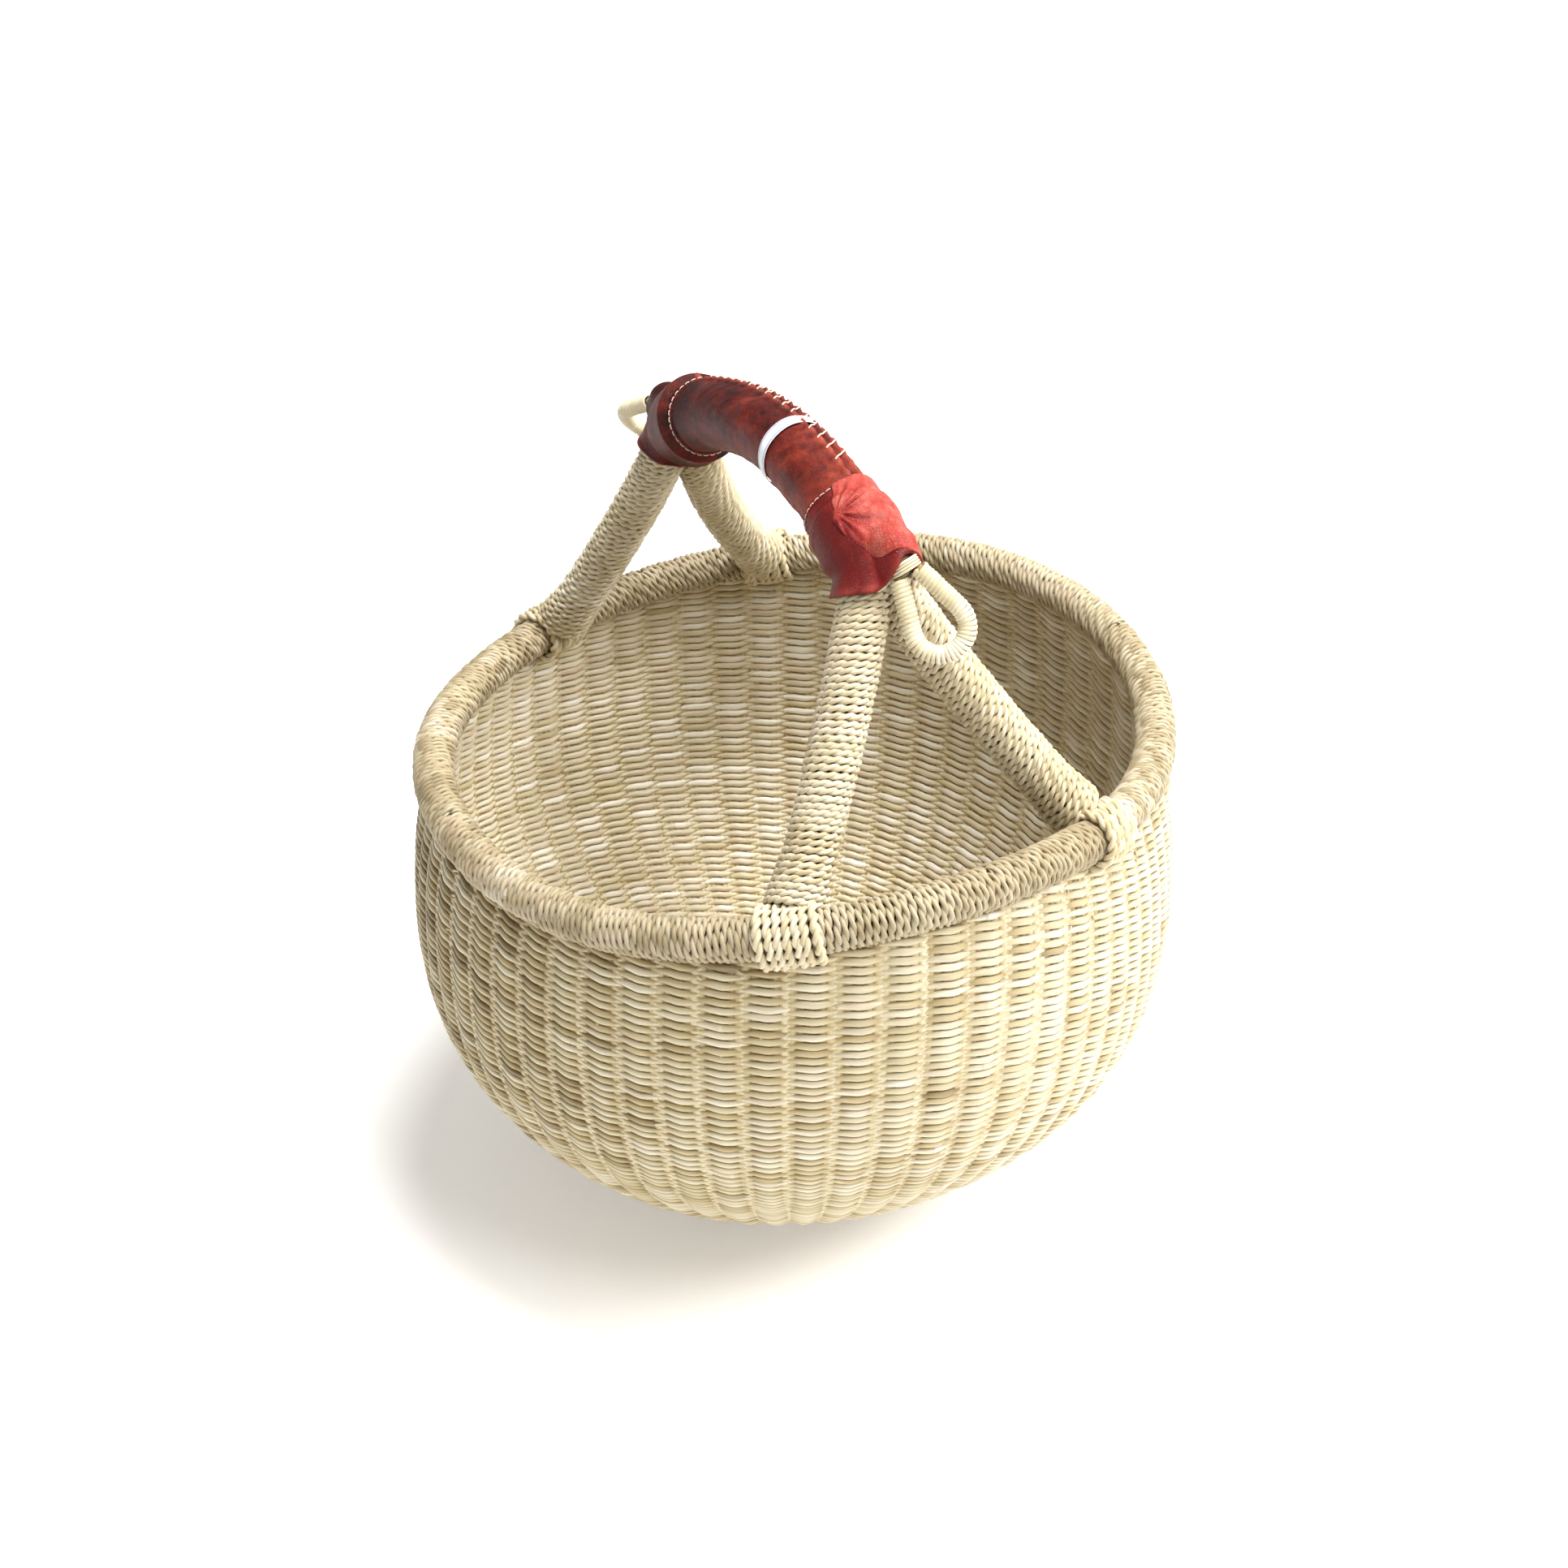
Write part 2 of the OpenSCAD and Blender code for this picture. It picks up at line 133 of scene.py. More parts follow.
def wave_noise(rng, waves, *coords):
    """Sum of seeded sine waves, about -1 to 1. waves is a list of (frequency, strength)."""
    total = 0.0
    for freq, strength in waves:
        for _ in range(3):
            way = rng.normal(size=len(coords))
            way = way / np.linalg.norm(way) * freq * rng.uniform(0.75, 1.3)
            total = total + strength / 3 * np.sin(
                sum(w * c for w, c in zip(way, coords)) + rng.uniform(0, TAU))
    return total


def node_points(*names):
    pts = [np.array([v.co for v in NODES[n].data.vertices]) for n in names]
    return np.unique(np.round(np.concatenate(pts) / MM, 4), axis=0)


def node_tree(*names):
    verts, faces = [], []
    for n in names:
        base = len(verts)
        verts += [v.co.copy() for v in NODES[n].data.vertices]
        faces += [[base + i for i in p.vertices] for p in NODES[n].data.polygons]
    return BVHTree.FromPolygons(verts, faces)


def ray(tree, start, way, reach):
    hit = tree.ray_cast(Vector(start * MM), Vector(way), reach * MM)
    return None if hit[0] is None else hit[3] / MM


def side_axes(t):
    helper = UP if abs(t[2]) < 0.85 else np.array([1.0, 0.0, 0.0])
    u = unit(np.cross(t, helper))
    return u, np.cross(t, u)


def centre_of(tree, p, t, reach, rays=24):
    """Middle of a tube's round section at p, across t, from a circle through ray hits."""
    u, v = side_axes(t)
    flat = []
    for k in range(rays):
        c, s = math.cos(TAU * k / rays), math.sin(TAU * k / rays)
        d = ray(tree, p, c * u + s * v, reach)
        if d is None:
            return None, 0
        flat.append((d * c, d * s))
    flat = np.array(flat)
    m = np.column_stack([2 * flat, np.ones(rays)])
    sol = np.linalg.lstsq(m, (flat ** 2).sum(1), rcond=None)[0]
    r = math.sqrt(sol[2] + sol[0] ** 2 + sol[1] ** 2)
    return p + sol[0] * u + sol[1] * v, r


def follow(tree, start, way, step, reach, most=400):
    p, t, found = start, unit(way), []
    while len(found) < most:
        c, r = centre_of(tree, p, t, reach)
        if c is None or np.linalg.norm(c - p) > reach / 2:
            break
        if found and (c - found[-1]) @ t < 0.2 * step:
            break
        if len(found) > 1:
            t = unit(c - found[-2])
        found.append(c)
        p = c + t * step
    return np.array(found)


def tube_axis(name, start, way, step, reach):
    """The centre line of a tube-shaped node, through start, from one end to the other."""
    tree = node_tree(name)
    start = centre_of(tree, start, unit(way), reach)[0]
    ahead = follow(tree, start, way, step, reach)
    behind = follow(tree, start, -np.array(way), step, reach)
    return np.concatenate([behind[:0:-1], ahead])


def along(line):
    return np.concatenate([[0], np.cumsum(np.linalg.norm(np.diff(line, axis=0), axis=1))])


def smooth_line(line, degree, before=0.0, after=0.0, count=400):
    """A polynomial line through the points, made longer at its ends by before and after."""
    s = along(line)
    x = 2 * s / s[-1] - 1
    fit = [np.polynomial.chebyshev.chebfit(x, line[:, i], degree) for i in range(3)]
    t = np.linspace(-1, 1, count)
    out = np.stack([np.polynomial.chebyshev.chebval(t, f) for f in fit], -1)
    first, last = unit(out[0] - out[2]), unit(out[-1] - out[-3])
    if before:
        out = np.concatenate([out[0] + first * np.linspace(before, 0, 12)[:-1, None], out])
    if after:
        out = np.concatenate([out, out[-1] + last * np.linspace(0, after, 12)[1:, None]])
    return out


class Line:
    """A centre line with a frame that doesn't twist, sampled by distance along it in mm."""

    def __init__(self, pts, start_normal, closed=False):
        self.p = pts
        self.s = along(pts)
        self.length = self.s[-1]
        self.t = unit(np.gradient(pts, axis=0))
        n = unit(start_normal - self.t[0] * (start_normal @ self.t[0]))
        normals = [n]
        for i in range(1, len(pts)):
            n = unit(n - self.t[i] * (n @ self.t[i]))
            normals.append(n)
        self.n = np.array(normals)
        if closed:
            off = math.atan2(np.cross(self.n[-1], self.n[0]) @ self.t[0], self.n[-1] @ self.n[0])
            turn = (off * self.s / self.length)[:, None]
            self.n = self.n * np.cos(turn) + np.cross(self.t, self.n) * np.sin(turn)
        self.b = np.cross(self.t, self.n)

    def at(self, s):
        def pick(a):
            return np.stack([np.interp(s, self.s, a[:, i]) for i in range(3)], -1)
        return pick(self.p), unit(pick(self.t)), unit(pick(self.n)), unit(pick(self.b))


# ---- meshes
# all in mm: the loops' winding, and how far off the measuring rays start
LOOP_PITCH = 1.75
LOOP_SEGS = 30
LOOP_STRAW_HALF = (0.62, 1.02)
FAR = 330.0
PROBE = 40.0


def make_object(name, mesh, material, body):
    """An object from a mesh (points in mm, quads, point attributes) that rides on a body."""
    verts, quads, attributes = mesh
    me = bpy.data.meshes.new(name)
    verts = np.asarray(verts, np.float32)
    quads = np.asarray(quads, np.int32)
    me.vertices.add(len(verts))
    me.vertices.foreach_set("co", (verts * MM).ravel())
    me.loops.add(quads.size)
    me.loops.foreach_set("vertex_index", quads.ravel())
    me.polygons.add(len(quads))
    me.polygons.foreach_set("loop_start", np.arange(0, quads.size, 4, dtype=np.int32))
    me.polygons.foreach_set("use_smooth", np.full(len(quads), True))
    me.update(calc_edges=True)
    for key, value in attributes.items():
        attribute = me.attributes.new(key, "FLOAT_VECTOR", "POINT")
        attribute.data.foreach_set("vector", np.asarray(value, np.float32).ravel())
    me.materials.append(material)
    ob = bpy.data.objects.new(name, me)
    SCENE.collection.objects.link(ob)
    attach(ob, body)
    return ob


def tubes(path, across, up, a, b, sides=8, closed=False, tint=None, tip=0.0):
    """Tubes swept along paths of shape (tubes, points, 3). a and b are the half sizes of the
    section along across and up. tip rounds an open tube's ends over that share of its points."""
    count, n = path.shape[:2]
    a = np.broadcast_to(a, (count, n)).astype(float)
    b = np.broadcast_to(b, (count, n)).astype(float)
    if not closed and tip > 0:
        x = np.linspace(0, 1, n)
        edge = np.clip(np.minimum(x, 1 - x) / tip, 0, 1)
        shrink = np.sqrt(np.clip(1 - (1 - edge) ** 2, 0.02, 1))
        a, b = a * shrink, b * shrink
    th = TAU * np.arange(sides) / sides
    c, s = np.cos(th), np.sin(th)
    pts = (path[:, :, None] + across[:, :, None] * (a[..., None] * c)[..., None]
           + up[:, :, None] * (b[..., None] * s)[..., None])
    step = np.linalg.norm(np.diff(path, axis=1), axis=-1)
    run = np.concatenate([np.zeros((count, 1)), np.cumsum(step, 1)], 1)
    run = run + RNG.uniform(0, 900, (count, 1))
    fibre = np.stack([
        (a[..., None] * c) + RNG.uniform(0, 60, (count, 1, 1)),
        (b[..., None] * s) + RNG.uniform(0, 60, (count, 1, 1)),
        np.broadcast_to(run[..., None], (count, n, sides))], -1)
    idx = np.arange(count * n * sides).reshape(count, n, sides)
    nxt = np.roll(idx, -1, axis=2)
    if closed:
        i0, i1, j0, j1 = idx, np.roll(idx, -1, axis=1), nxt, np.roll(nxt, -1, axis=1)
    else:
        i0, i1, j0, j1 = idx[:, :-1], idx[:, 1:], nxt[:, :-1], nxt[:, 1:]
    quads = [np.stack([i0, j0, j1, i1], -1).reshape(-1, 4)]
    if not closed:
        for k in range(sides // 2 - 1):
            lo, hi = k, sides - 1 - k
            quads.append(np.stack([idx[:, 0, hi], idx[:, 0, hi - 1],
                                   idx[:, 0, lo + 1], idx[:, 0, lo]], -1))
            quads.append(np.stack([idx[:, -1, lo], idx[:, -1, lo + 1],
                                   idx[:, -1, hi - 1], idx[:, -1, hi]], -1))
    if tint is None:
        tint = RNG.uniform(0, 1, (count, 1, 3))
    tint = np.broadcast_to(np.asarray(tint, float), (count, n, 3))
    tints = np.broadcast_to(tint[:, :, None], (count, n, sides, 3))
    return (pts.reshape(-1, 3), np.concatenate(quads),
            {"fibre": fibre.reshape(-1, 3), "tint": tints.reshape(-1, 3)})


def join(parts):
    """One mesh from several."""
    verts, quads, values, base = [], [], {}, 0
    for part_verts, part_quads, attributes in parts:
        verts.append(part_verts)
        quads.append(part_quads + base)
        base += len(part_verts)
        for key, value in attributes.items():
            values.setdefault(key, []).append(value)
    values = {key: np.concatenate(value) for key, value in values.items()}
    return np.concatenate(verts), np.concatenate(quads), values


def cord_winding(line, radius, pitch, start, end, size, twist, segs, wobble, lean, rng):
    """Two-ply cord wound round a line. radius is to the cord's outside; lean tips the turns."""
    turns = (end - start) / pitch
    n = int(turns * segs)
    turn = np.linspace(0, turns, n)
    psi = TAU * turn
    drift = wave_noise(rng, [(0.6, 1.0), (2.1, 0.6)], turn) * wobble
    s = start + turn * pitch + drift + lean * np.cos(psi)
    p, t, nn, bb = line.at(s)
    rad = radius(s) if callable(radius) else np.full(n, radius)
    rad = rad + wave_noise(rng, [(0.8, 1.0), (3.3, 0.5)], turn, psi * 0.3) * wobble * 0.5
    er = outward(nn, bb, psi)
    ply = size * 0.66
    off = size * 0.40
    mid = p + er * (rad - ply - off)[:, None]
    length = along(mid)
    slip = 1.6 * wave_noise(rng, [(0.9, 1.0), (2.3, 0.8)], turn)
    plies = []
    tints = strand_tints(rng, n, int(n / max(turns, 1) * 5), 2)
    for i, tint in enumerate(tints):
        tau = TAU * length / twist + i * math.pi + slip
        path = mid + off * outward(er, t, tau)
        plies.append(tubes(path[None], er[None], t[None], ply, ply, 6, tint=tint[None], tip=0.002))
    return join(plies)


def flat_winding(line, radius, tip, rng=None):
    """One flat straw wound closely round a line. With rng its turns are a little uneven."""
    turns = line.length / LOOP_PITCH
    n = int(turns * LOOP_SEGS)
    turn = np.linspace(0, turns, n)
    s = turn * LOOP_PITCH
    tint = None
    if rng is not None:
        s = s + 0.12 * wave_noise(rng, [(1.0, 1.0), (3.0, 0.5)], turn)
        radius = radius + 0.10 * wave_noise(rng, [(1.0, 1.0), (2.6, 0.7)], turn)
        tint = strand_tints(rng, n, LOOP_SEGS * 9, 1)[0][None]
    p, t, nn, bb = line.at(s)
    er = outward(nn, bb, TAU * turn)
    path = p + er * np.broadcast_to(radius, n)[:, None]
    return tubes(path[None], er[None], t[None], *LOOP_STRAW_HALF, 6, tint=tint, tip=tip)


def strand_tints(rng, n, run, count):
    """One tint per point, the same over each run of straw before the next straw takes over."""
    out = []
    for _ in range(count):
        values, filled = np.zeros((n, 3)), 0
        while filled < n:
            size = max(2, int(run * rng.uniform(0.4, 1.6)))
            values[filled:filled + size] = rng.uniform(0, 1, 3)
            filled += size
        out.append(values)
    return out


# ---- materials
def srgb(code):
    code = code.lstrip("#")
    vals = [int(code[i:i + 2], 16) / 255 for i in (0, 2, 4)]
    return tuple(v / 12.92 if v <= 0.04045 else ((v + 0.055) / 1.055) ** 2.4 for v in vals) + (1.0,)


class Mat:
    """A node material built round its Principled shader."""

    def __init__(self, name, rough, specular):
        self.material = bpy.data.materials.new(name)
        self.material.use_nodes = True
        self.tree = self.material.node_tree
        self.shader = self.tree.nodes["Principled BSDF"]
        self.set({"Roughness": rough, "Specular IOR Level": specular})

    def feed(self, socket, value):
        """Link another node's output to a socket, or set the socket's own value."""
        if isinstance(value, bpy.types.NodeSocket):
            self.tree.links.new(value, socket)
        else:
            socket.default_value = srgb(value) if isinstance(value, str) else value

    def set(self, values):
        for key, value in values.items():
            self.feed(self.shader.inputs[key], value)

    def node(self, kind, inputs, out, **settings):
        node = self.tree.nodes.new(kind)
        for key, value in settings.items():
            setattr(node, key, value)
        for key, value in inputs.items():
            self.feed(node.inputs[key], value)
        return node.outputs[out]

    def attr(self, name):
        return self.node("ShaderNodeAttribute", {}, "Vector", attribute_name=name)

    def place(self):
        return self.node("ShaderNodeTexCoord", {}, "Object")

    def scaled(self, vec, *scale):
        return self.node("ShaderNodeMapping", {"Vector": vec, "Scale": scale}, "Vector",
                         vector_type="POINT")

    def noise(self, vec, scale=1.0, detail=3.0, rough=0.55, distort=0.0):
        return self.node("ShaderNodeTexNoise", {"Vector": vec, "Scale": scale, "Detail": detail,
                                                "Roughness": rough, "Distortion": distort}, "Fac")

    def pores(self, vec):
        return self.node("ShaderNodeTexVoronoi", {"Vector": vec, "Scale": 1.0}, "Distance",
                         feature="DISTANCE_TO_EDGE")

    def ramp(self, fac, stops):
        """Colours or grey values by position."""
        node = self.tree.nodes.new("ShaderNodeValToRGB")
        elements = node.color_ramp.elements
        while len(elements) < len(stops):
            elements.new(0.5)
        for element, (position, colour) in zip(elements, stops):
            element.position = position
            element.color = srgb(colour) if isinstance(colour, str) else (colour, colour, colour, 1)
        self.feed(node.inputs["Fac"], fac)
        return node.outputs["Color"]

    def mix(self, fac, a, b):
        """Colour a turned to colour b by fac; 6, 7 and 2 are the node's colour sockets."""
        return self.node("ShaderNodeMix", {0: fac, 6: a, 7: b}, 2, data_type="RGBA")

    def maths(self, op, a, b=0.0, c=0.0):
        return self.node("ShaderNodeMath", {0: a, 1: b, 2: c}, 0, operation=op)

    def times(self, a, b):
        return self.maths("MULTIPLY", a, b)

    def part(self, vec, axis):
        return self.node("ShaderNodeSeparateXYZ", {0: vec}, axis)

    def bump(self, height, strength, distance):
        return self.node("ShaderNodeBump", {"Strength": strength, "Distance": distance,
                                            "Height": height}, "Normal")


def straw(name, stops, streak, rough=0.58, sheen=0.15, spec=0.4):
    """Dried grass: long fibres, a colour for each straw, darker nodes and a faint waxy skin."""
    m = Mat(name, rough, spec)
    fibre, tint = m.attr("fibre"), m.attr("tint")
    fine = m.noise(m.scaled(fibre, 2.6, 2.6, 0.10), 1.0, 4.0, 0.6)
    broad = m.noise(m.scaled(fibre, 0.35, 0.35, 0.035), 1.0, 3.0, 0.6)
    # The first tint channel picks the base colour; on the weave it also carries the painted shade and light from
    # twined_row.
    base = m.ramp(m.part(tint, 0), stops)
    streaks = m.ramp(fine, [(0.34, 0.0), (0.66, 1.0)])
    dark = m.mix(m.times(m.part(tint, 1), 0.30), base, streak)
    patch = m.ramp(broad, [(0.42, 0.0), (0.72, 1.0)])
    pale = m.ramp(broad, [(0.24, 1.0), (0.40, 0.0)])
    colour = m.mix(streaks, dark, base)
    colour = m.mix(m.times(patch, 0.32), colour, streak)
    colour = m.mix(m.times(pale, 0.35), colour, "#f4ead0")
    m.set({"Base Color": colour,
           "Roughness": m.maths("MULTIPLY_ADD", fine, -0.22, rough + 0.12),
           "Normal": m.bump(fine, 0.55, 0.00035),
           "Sheen Weight": sheen,
           "Sheen Roughness": 0.5})
    return m.material


# The weave ramp's dark first stop is where the painted shading from twined_row takes the strands in the valleys
# and on the side away from the key light.
WEAVE = straw("straw_weave", [(0.0, "#7a663c"), (0.22, "#b09d70"), (0.45, "#c8bc98"),
                              (0.7, "#d7ceb6"), (0.86, "#cbbb9e"), (1.0, "#e8e3d4")], "#94805a",
              0.46, 0.1, 0.5)
STAKE = straw("straw_stakes", [(0.0, "#b3a073"), (0.5, "#c8b88f"), (1.0, "#dacfb0")], "#8f7647")


def core_material():
    """Bundled dry grass for the pieces that the cords cover: coarse, darker, uneven."""
    m = Mat("grass_core", 0.75, 0.25)
    place = m.place()
    blades = m.noise(m.scaled(place, 900.0, 900.0, 240.0), 1.0, 4.0, 0.6)
    broad = m.noise(place, 60.0)
    colour = m.ramp(blades, [(0.3, "#7d6638"), (0.5, "#a68d5c"), (0.7, "#c0aa78")])
    m.set({"Base Color": m.mix(m.times(broad, 0.5), colour, "#8f7748"),
           "Normal": m.bump(blades, 0.6, 0.0006)})
    return m.material


CORE = core_material()
CORD = straw("straw_cord", [(0.0, "#b6a682"), (0.3, "#c6b997"), (0.6, "#d2c8ac"),
                            (0.85, "#cab99b"), (1.0, "#e4decd")], "#96815a", 0.5)
RIM_CORD = straw("rim_cord", [(0.0, "#8f7f5e"), (0.3, "#a39472"), (0.6, "#b5a98b"),
                              (0.85, "#ab987a"), (1.0, "#cdc4ae")], "#836f4e", 0.52)
LASH = straw("lashing_cord", [(0.0, "#b9a880"), (0.5, "#cabd99"), (1.0, "#dad0b6")], "#a48a5a", 0.55)
LOOP = straw("loop_straw", [(0.0, "#cfc29c"), (0.5, "#d9ceae"), (1.0, "#e6dec6")], "#b09a70", 0.45,
             0.1, 0.5)


def leather(name, stops, rough=0.48):
    """Dyed goat skin: unevenly dyed, fine pebble grain, a worn shine, painted highlight on the raised folds and
    painted shade in the creases.
    """
    m = Mat(name, rough, 0.17)
    skin = m.attr("fibre")
    dye_and_painted_light = m.attr("tint")
    broad = m.noise(m.scaled(skin, 0.05, 0.05, 0.05), 1.0, 4.0, 0.62, 0.8)
    mottle = m.noise(m.scaled(skin, 0.28, 0.28, 0.28), 1.0, 5.0, 0.7, 0.4)
    grain = m.ramp(m.pores(m.scaled(skin, 1.5, 1.5, 1.5)), [(0.0, 0.0), (0.22, 1.0)])
    clouds = m.times(m.maths("SUBTRACT", broad, 0.5), 1.2)
    flecks = m.times(m.maths("SUBTRACT", mottle, 0.5), 0.75)
    # The tint's first channel is the dyed tone, on the front cuff and flap with painted light added; the second
    # and third channels are painted highlight and painted shade.
    depth = m.maths("ADD", m.times(m.part(dye_and_painted_light, 0), 0.66), m.maths("ADD", clouds, flecks))
    colour = m.ramp(depth, stops)
    colour = m.mix(m.times(m.maths("SUBTRACT", 1.0, grain), 0.40), colour, "#3a0d0c")
    # Painted highlight on the raised folds, then painted shade in the creases.
    colour = m.mix(m.times(m.part(dye_and_painted_light, 1), 0.35), colour, "#c8604a")
    colour = m.mix(m.times(m.part(dye_and_painted_light, 2), 0.7), colour, "#2e0908")
    height = m.maths("ADD", m.times(grain, 0.5), m.times(mottle, 0.9))
    m.set({"Base Color": colour,
           "Roughness": m.maths("MULTIPLY_ADD", mottle, 0.34, rough - 0.17),
           "Normal": m.bump(height, 0.5, 0.0005),
           "Coat Weight": 0.03,
           "Coat Roughness": 0.35})
    return m.material


SLEEVE = leather("leather_brown_red", [(0.0, "#260704"), (0.25, "#58140b"), (0.5, "#802a19"),
                                       (0.75, "#9f4128"), (1.0, "#b85e3e")])
RED = leather("leather_red", [(0.0, "#651512"), (0.3, "#932522"), (0.55, "#b04438"),
                              (0.8, "#c76b5f"), (1.0, "#e09089")], 0.45)


def thread_material():
    """Waxed thread with a fine lay."""
    m = Mat("thread", 0.6, 0.35)
    lay = m.noise(m.scaled(m.attr("fibre"), 6.0, 6.0, 1.2))
    m.set({"Base Color": m.ramp(lay, [(0.3, "#b58d78"), (0.7, "#ead2c2")]),
           "Normal": m.bump(lay, 0.5, 0.0002),
           "Sheen Weight": 0.2})
    return m.material


def ribbon_material():
    """A plain woven ribbon: white, with a blue line along each edge and a fine weave."""
    m = Mat("ribbon", 0.42, 0.45)
    fibre = m.attr("fibre")
    width = m.part(fibre, 0)
    rib = m.maths("SINE", m.times(m.part(fibre, 2), 11.0))
    thread = m.maths("SINE", m.times(width, 13.0))
    weave = m.times(rib, thread)
    edge = m.maths("ABSOLUTE", width)
    line = m.times(m.maths("GREATER_THAN", edge, 2.05), m.maths("LESS_THAN", edge, 2.55))
    cloth = m.ramp(m.maths("MULTIPLY_ADD", weave, 0.25, 0.5), [(0.2, "#dfe3ea"), (0.8, "#f4f6fa")])
    m.set({"Base Color": m.mix(line, cloth, "#4c66a8"),
           "Normal": m.bump(weave, 0.4, 0.00012),
           "Sheen Weight": 0.3})
    return m.material


THREAD = thread_material()
RIBBON = ribbon_material()


def show_grass(*names):
    """The CAD cores keep their shape and show dry grass between the cords."""
    for name in names:
        NODES[name].data.materials.clear()
        NODES[name].data.materials.append(CORE)

# ---- rim
rim_pts = node_points("rim_core")
rim_ang = np.arctan2(rim_pts[:, 1], rim_pts[:, 0])


def harmonics(a, most):
    cols = [np.ones_like(a)]
    for k in range(1, most + 1):
        cols += [np.cos(k * a), np.sin(k * a)]
    return np.stack(cols, -1)


RIM_HARMONICS = 6
rim_rows = harmonics(rim_ang, RIM_HARMONICS)
rim_r_fit = np.linalg.lstsq(rim_rows, np.hypot(rim_pts[:, 0], rim_pts[:, 1]), rcond=None)[0]
rim_z_fit = np.linalg.lstsq(rim_rows, rim_pts[:, 2], rcond=None)[0]


def rim_r(a):
    return harmonics(a, RIM_HARMONICS) @ rim_r_fit


def rim_z(a):
    return harmonics(a, RIM_HARMONICS) @ rim_z_fit


def rim_at(a):
    r = rim_r(a)
    return np.stack([r * np.cos(a), r * np.sin(a), rim_z(a)], -1)


wrap_pts = node_points("rim_wrap")
wrap_ang = np.arctan2(wrap_pts[:, 1], wrap_pts[:, 0])
RIM_TUBE_R = float(np.percentile(np.linalg.norm(wrap_pts - rim_at(wrap_ang), axis=1), 95))
rim_line = Line(rim_at(np.linspace(0, TAU, 1441)), UP, closed=True)

# ---- wall surface
BANDS = ["lower_wall_weave", "middle_wall_weave", "upper_wall_weave"]
wall_tree = node_tree(*BANDS)
U_DEGREE = 8
U_HARMONICS = 6
FIT_ANGLES = np.linspace(0, TAU, 72, endpoint=False)
FIT_SHARES = np.linspace(0.012, 0.955, 44)


def wall_top(a):
    return rim_z(a) - 0.45 * RIM_TUBE_R


def share_basis(u):
    return np.polynomial.chebyshev.chebvander(2 * u - 1, U_DEGREE)


def fit_wall():
    """Outer radius of the wall as harmonics round it times polynomials up it."""
    radii = np.zeros((len(FIT_ANGLES), len(FIT_SHARES)))
    for i, a in enumerate(FIT_ANGLES):
        way = np.array([math.cos(a), math.sin(a), 0.0])
        top = float(wall_top(np.array(a)))
        for j, u in enumerate(FIT_SHARES):
            radii[i, j] = FAR - ray(wall_tree, way * FAR + UP * u * top, -way, FAR)
    around = harmonics(FIT_ANGLES, U_HARMONICS)
    upward = share_basis(FIT_SHARES)
    by_angle = np.linalg.inv(around.T @ around) @ (around.T @ radii)
    return (np.linalg.pinv(upward) @ by_angle.T).T


wall_fit = fit_wall()


def wall_outer_r(a, u):
    by_share = harmonics(a, U_HARMONICS) @ wall_fit
    return (by_share * share_basis(u)).sum(-1)


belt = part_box("middle_wall_weave")
belt_z = (belt[0].z + belt[1].z) / 2 / MM
outer_hit = ray(wall_tree, np.array([FAR, 0.0, belt_z]), np.array([-1.0, 0.0, 0.0]), FAR)
inner_hit = ray(wall_tree, np.array([0.0, 0.0, belt_z]), np.array([1.0, 0.0, 0.0]), FAR)
WALL_THICK = FAR - outer_hit - inner_hit

GRID_A, GRID_U = 361, 160
grid_a = np.linspace(0, TAU, GRID_A)
grid_u = np.linspace(0, 1, GRID_U)
AA, UU = np.meshgrid(grid_a, grid_u, indexing="ij")
RR = wall_outer_r(AA, UU)
outer = np.stack([RR * np.cos(AA), RR * np.sin(AA), UU * wall_top(AA)], -1)
d_a = np.gradient(outer, axis=0)
d_a[0] = d_a[-1] = (outer[1] - outer[-2]) / 2
d_u = np.gradient(outer, axis=1)
normal = unit(np.cross(d_a, d_u))
middle = outer - normal * WALL_THICK / 2
# the same points, spaced evenly along the profile
step_u = np.linalg.norm(np.diff(middle, axis=1), axis=-1)
run_u = np.concatenate([np.zeros((GRID_A, 1)), np.cumsum(step_u, 1)], 1)
WALL_RUN = run_u[:, -1]
even = np.linspace(0, 1, GRID_U)
WALL_P = np.empty_like(middle)
WALL_N = np.empty_like(middle)
for i in range(GRID_A):
    share = run_u[i] / run_u[i, -1]
    for j in range(3):
        WALL_P[i, :, j] = np.interp(even, share, middle[i, :, j])
        WALL_N[i, :, j] = np.interp(even, share, normal[i, :, j])
WALL_N = unit(WALL_N)


def on_wall(grid, a, f):
    return bilinear(grid, np.mod(a, TAU) / (TAU) * (GRID_A - 1),
                    np.clip(f, 0, 1) * (GRID_U - 1))


def wall_at(a, f):
    """Middle of the wall, its outward normal and the way up the wall, at angle a and share f."""
    p = on_wall(WALL_P, a, f)
    n = unit(on_wall(WALL_N, a, f))
    up = on_wall(WALL_P, a, np.minimum(f + 0.004, 1)) - on_wall(WALL_P, a, np.maximum(f - 0.004, 0))
    up = unit(up - n * (up * n).sum(-1, keepdims=True))
    return p, n, up


# ---- twined weave
COLUMNS = 63
ROWS = 70
SEGS = 9
MEAN_PITCH = float(WALL_RUN.mean()) / ROWS


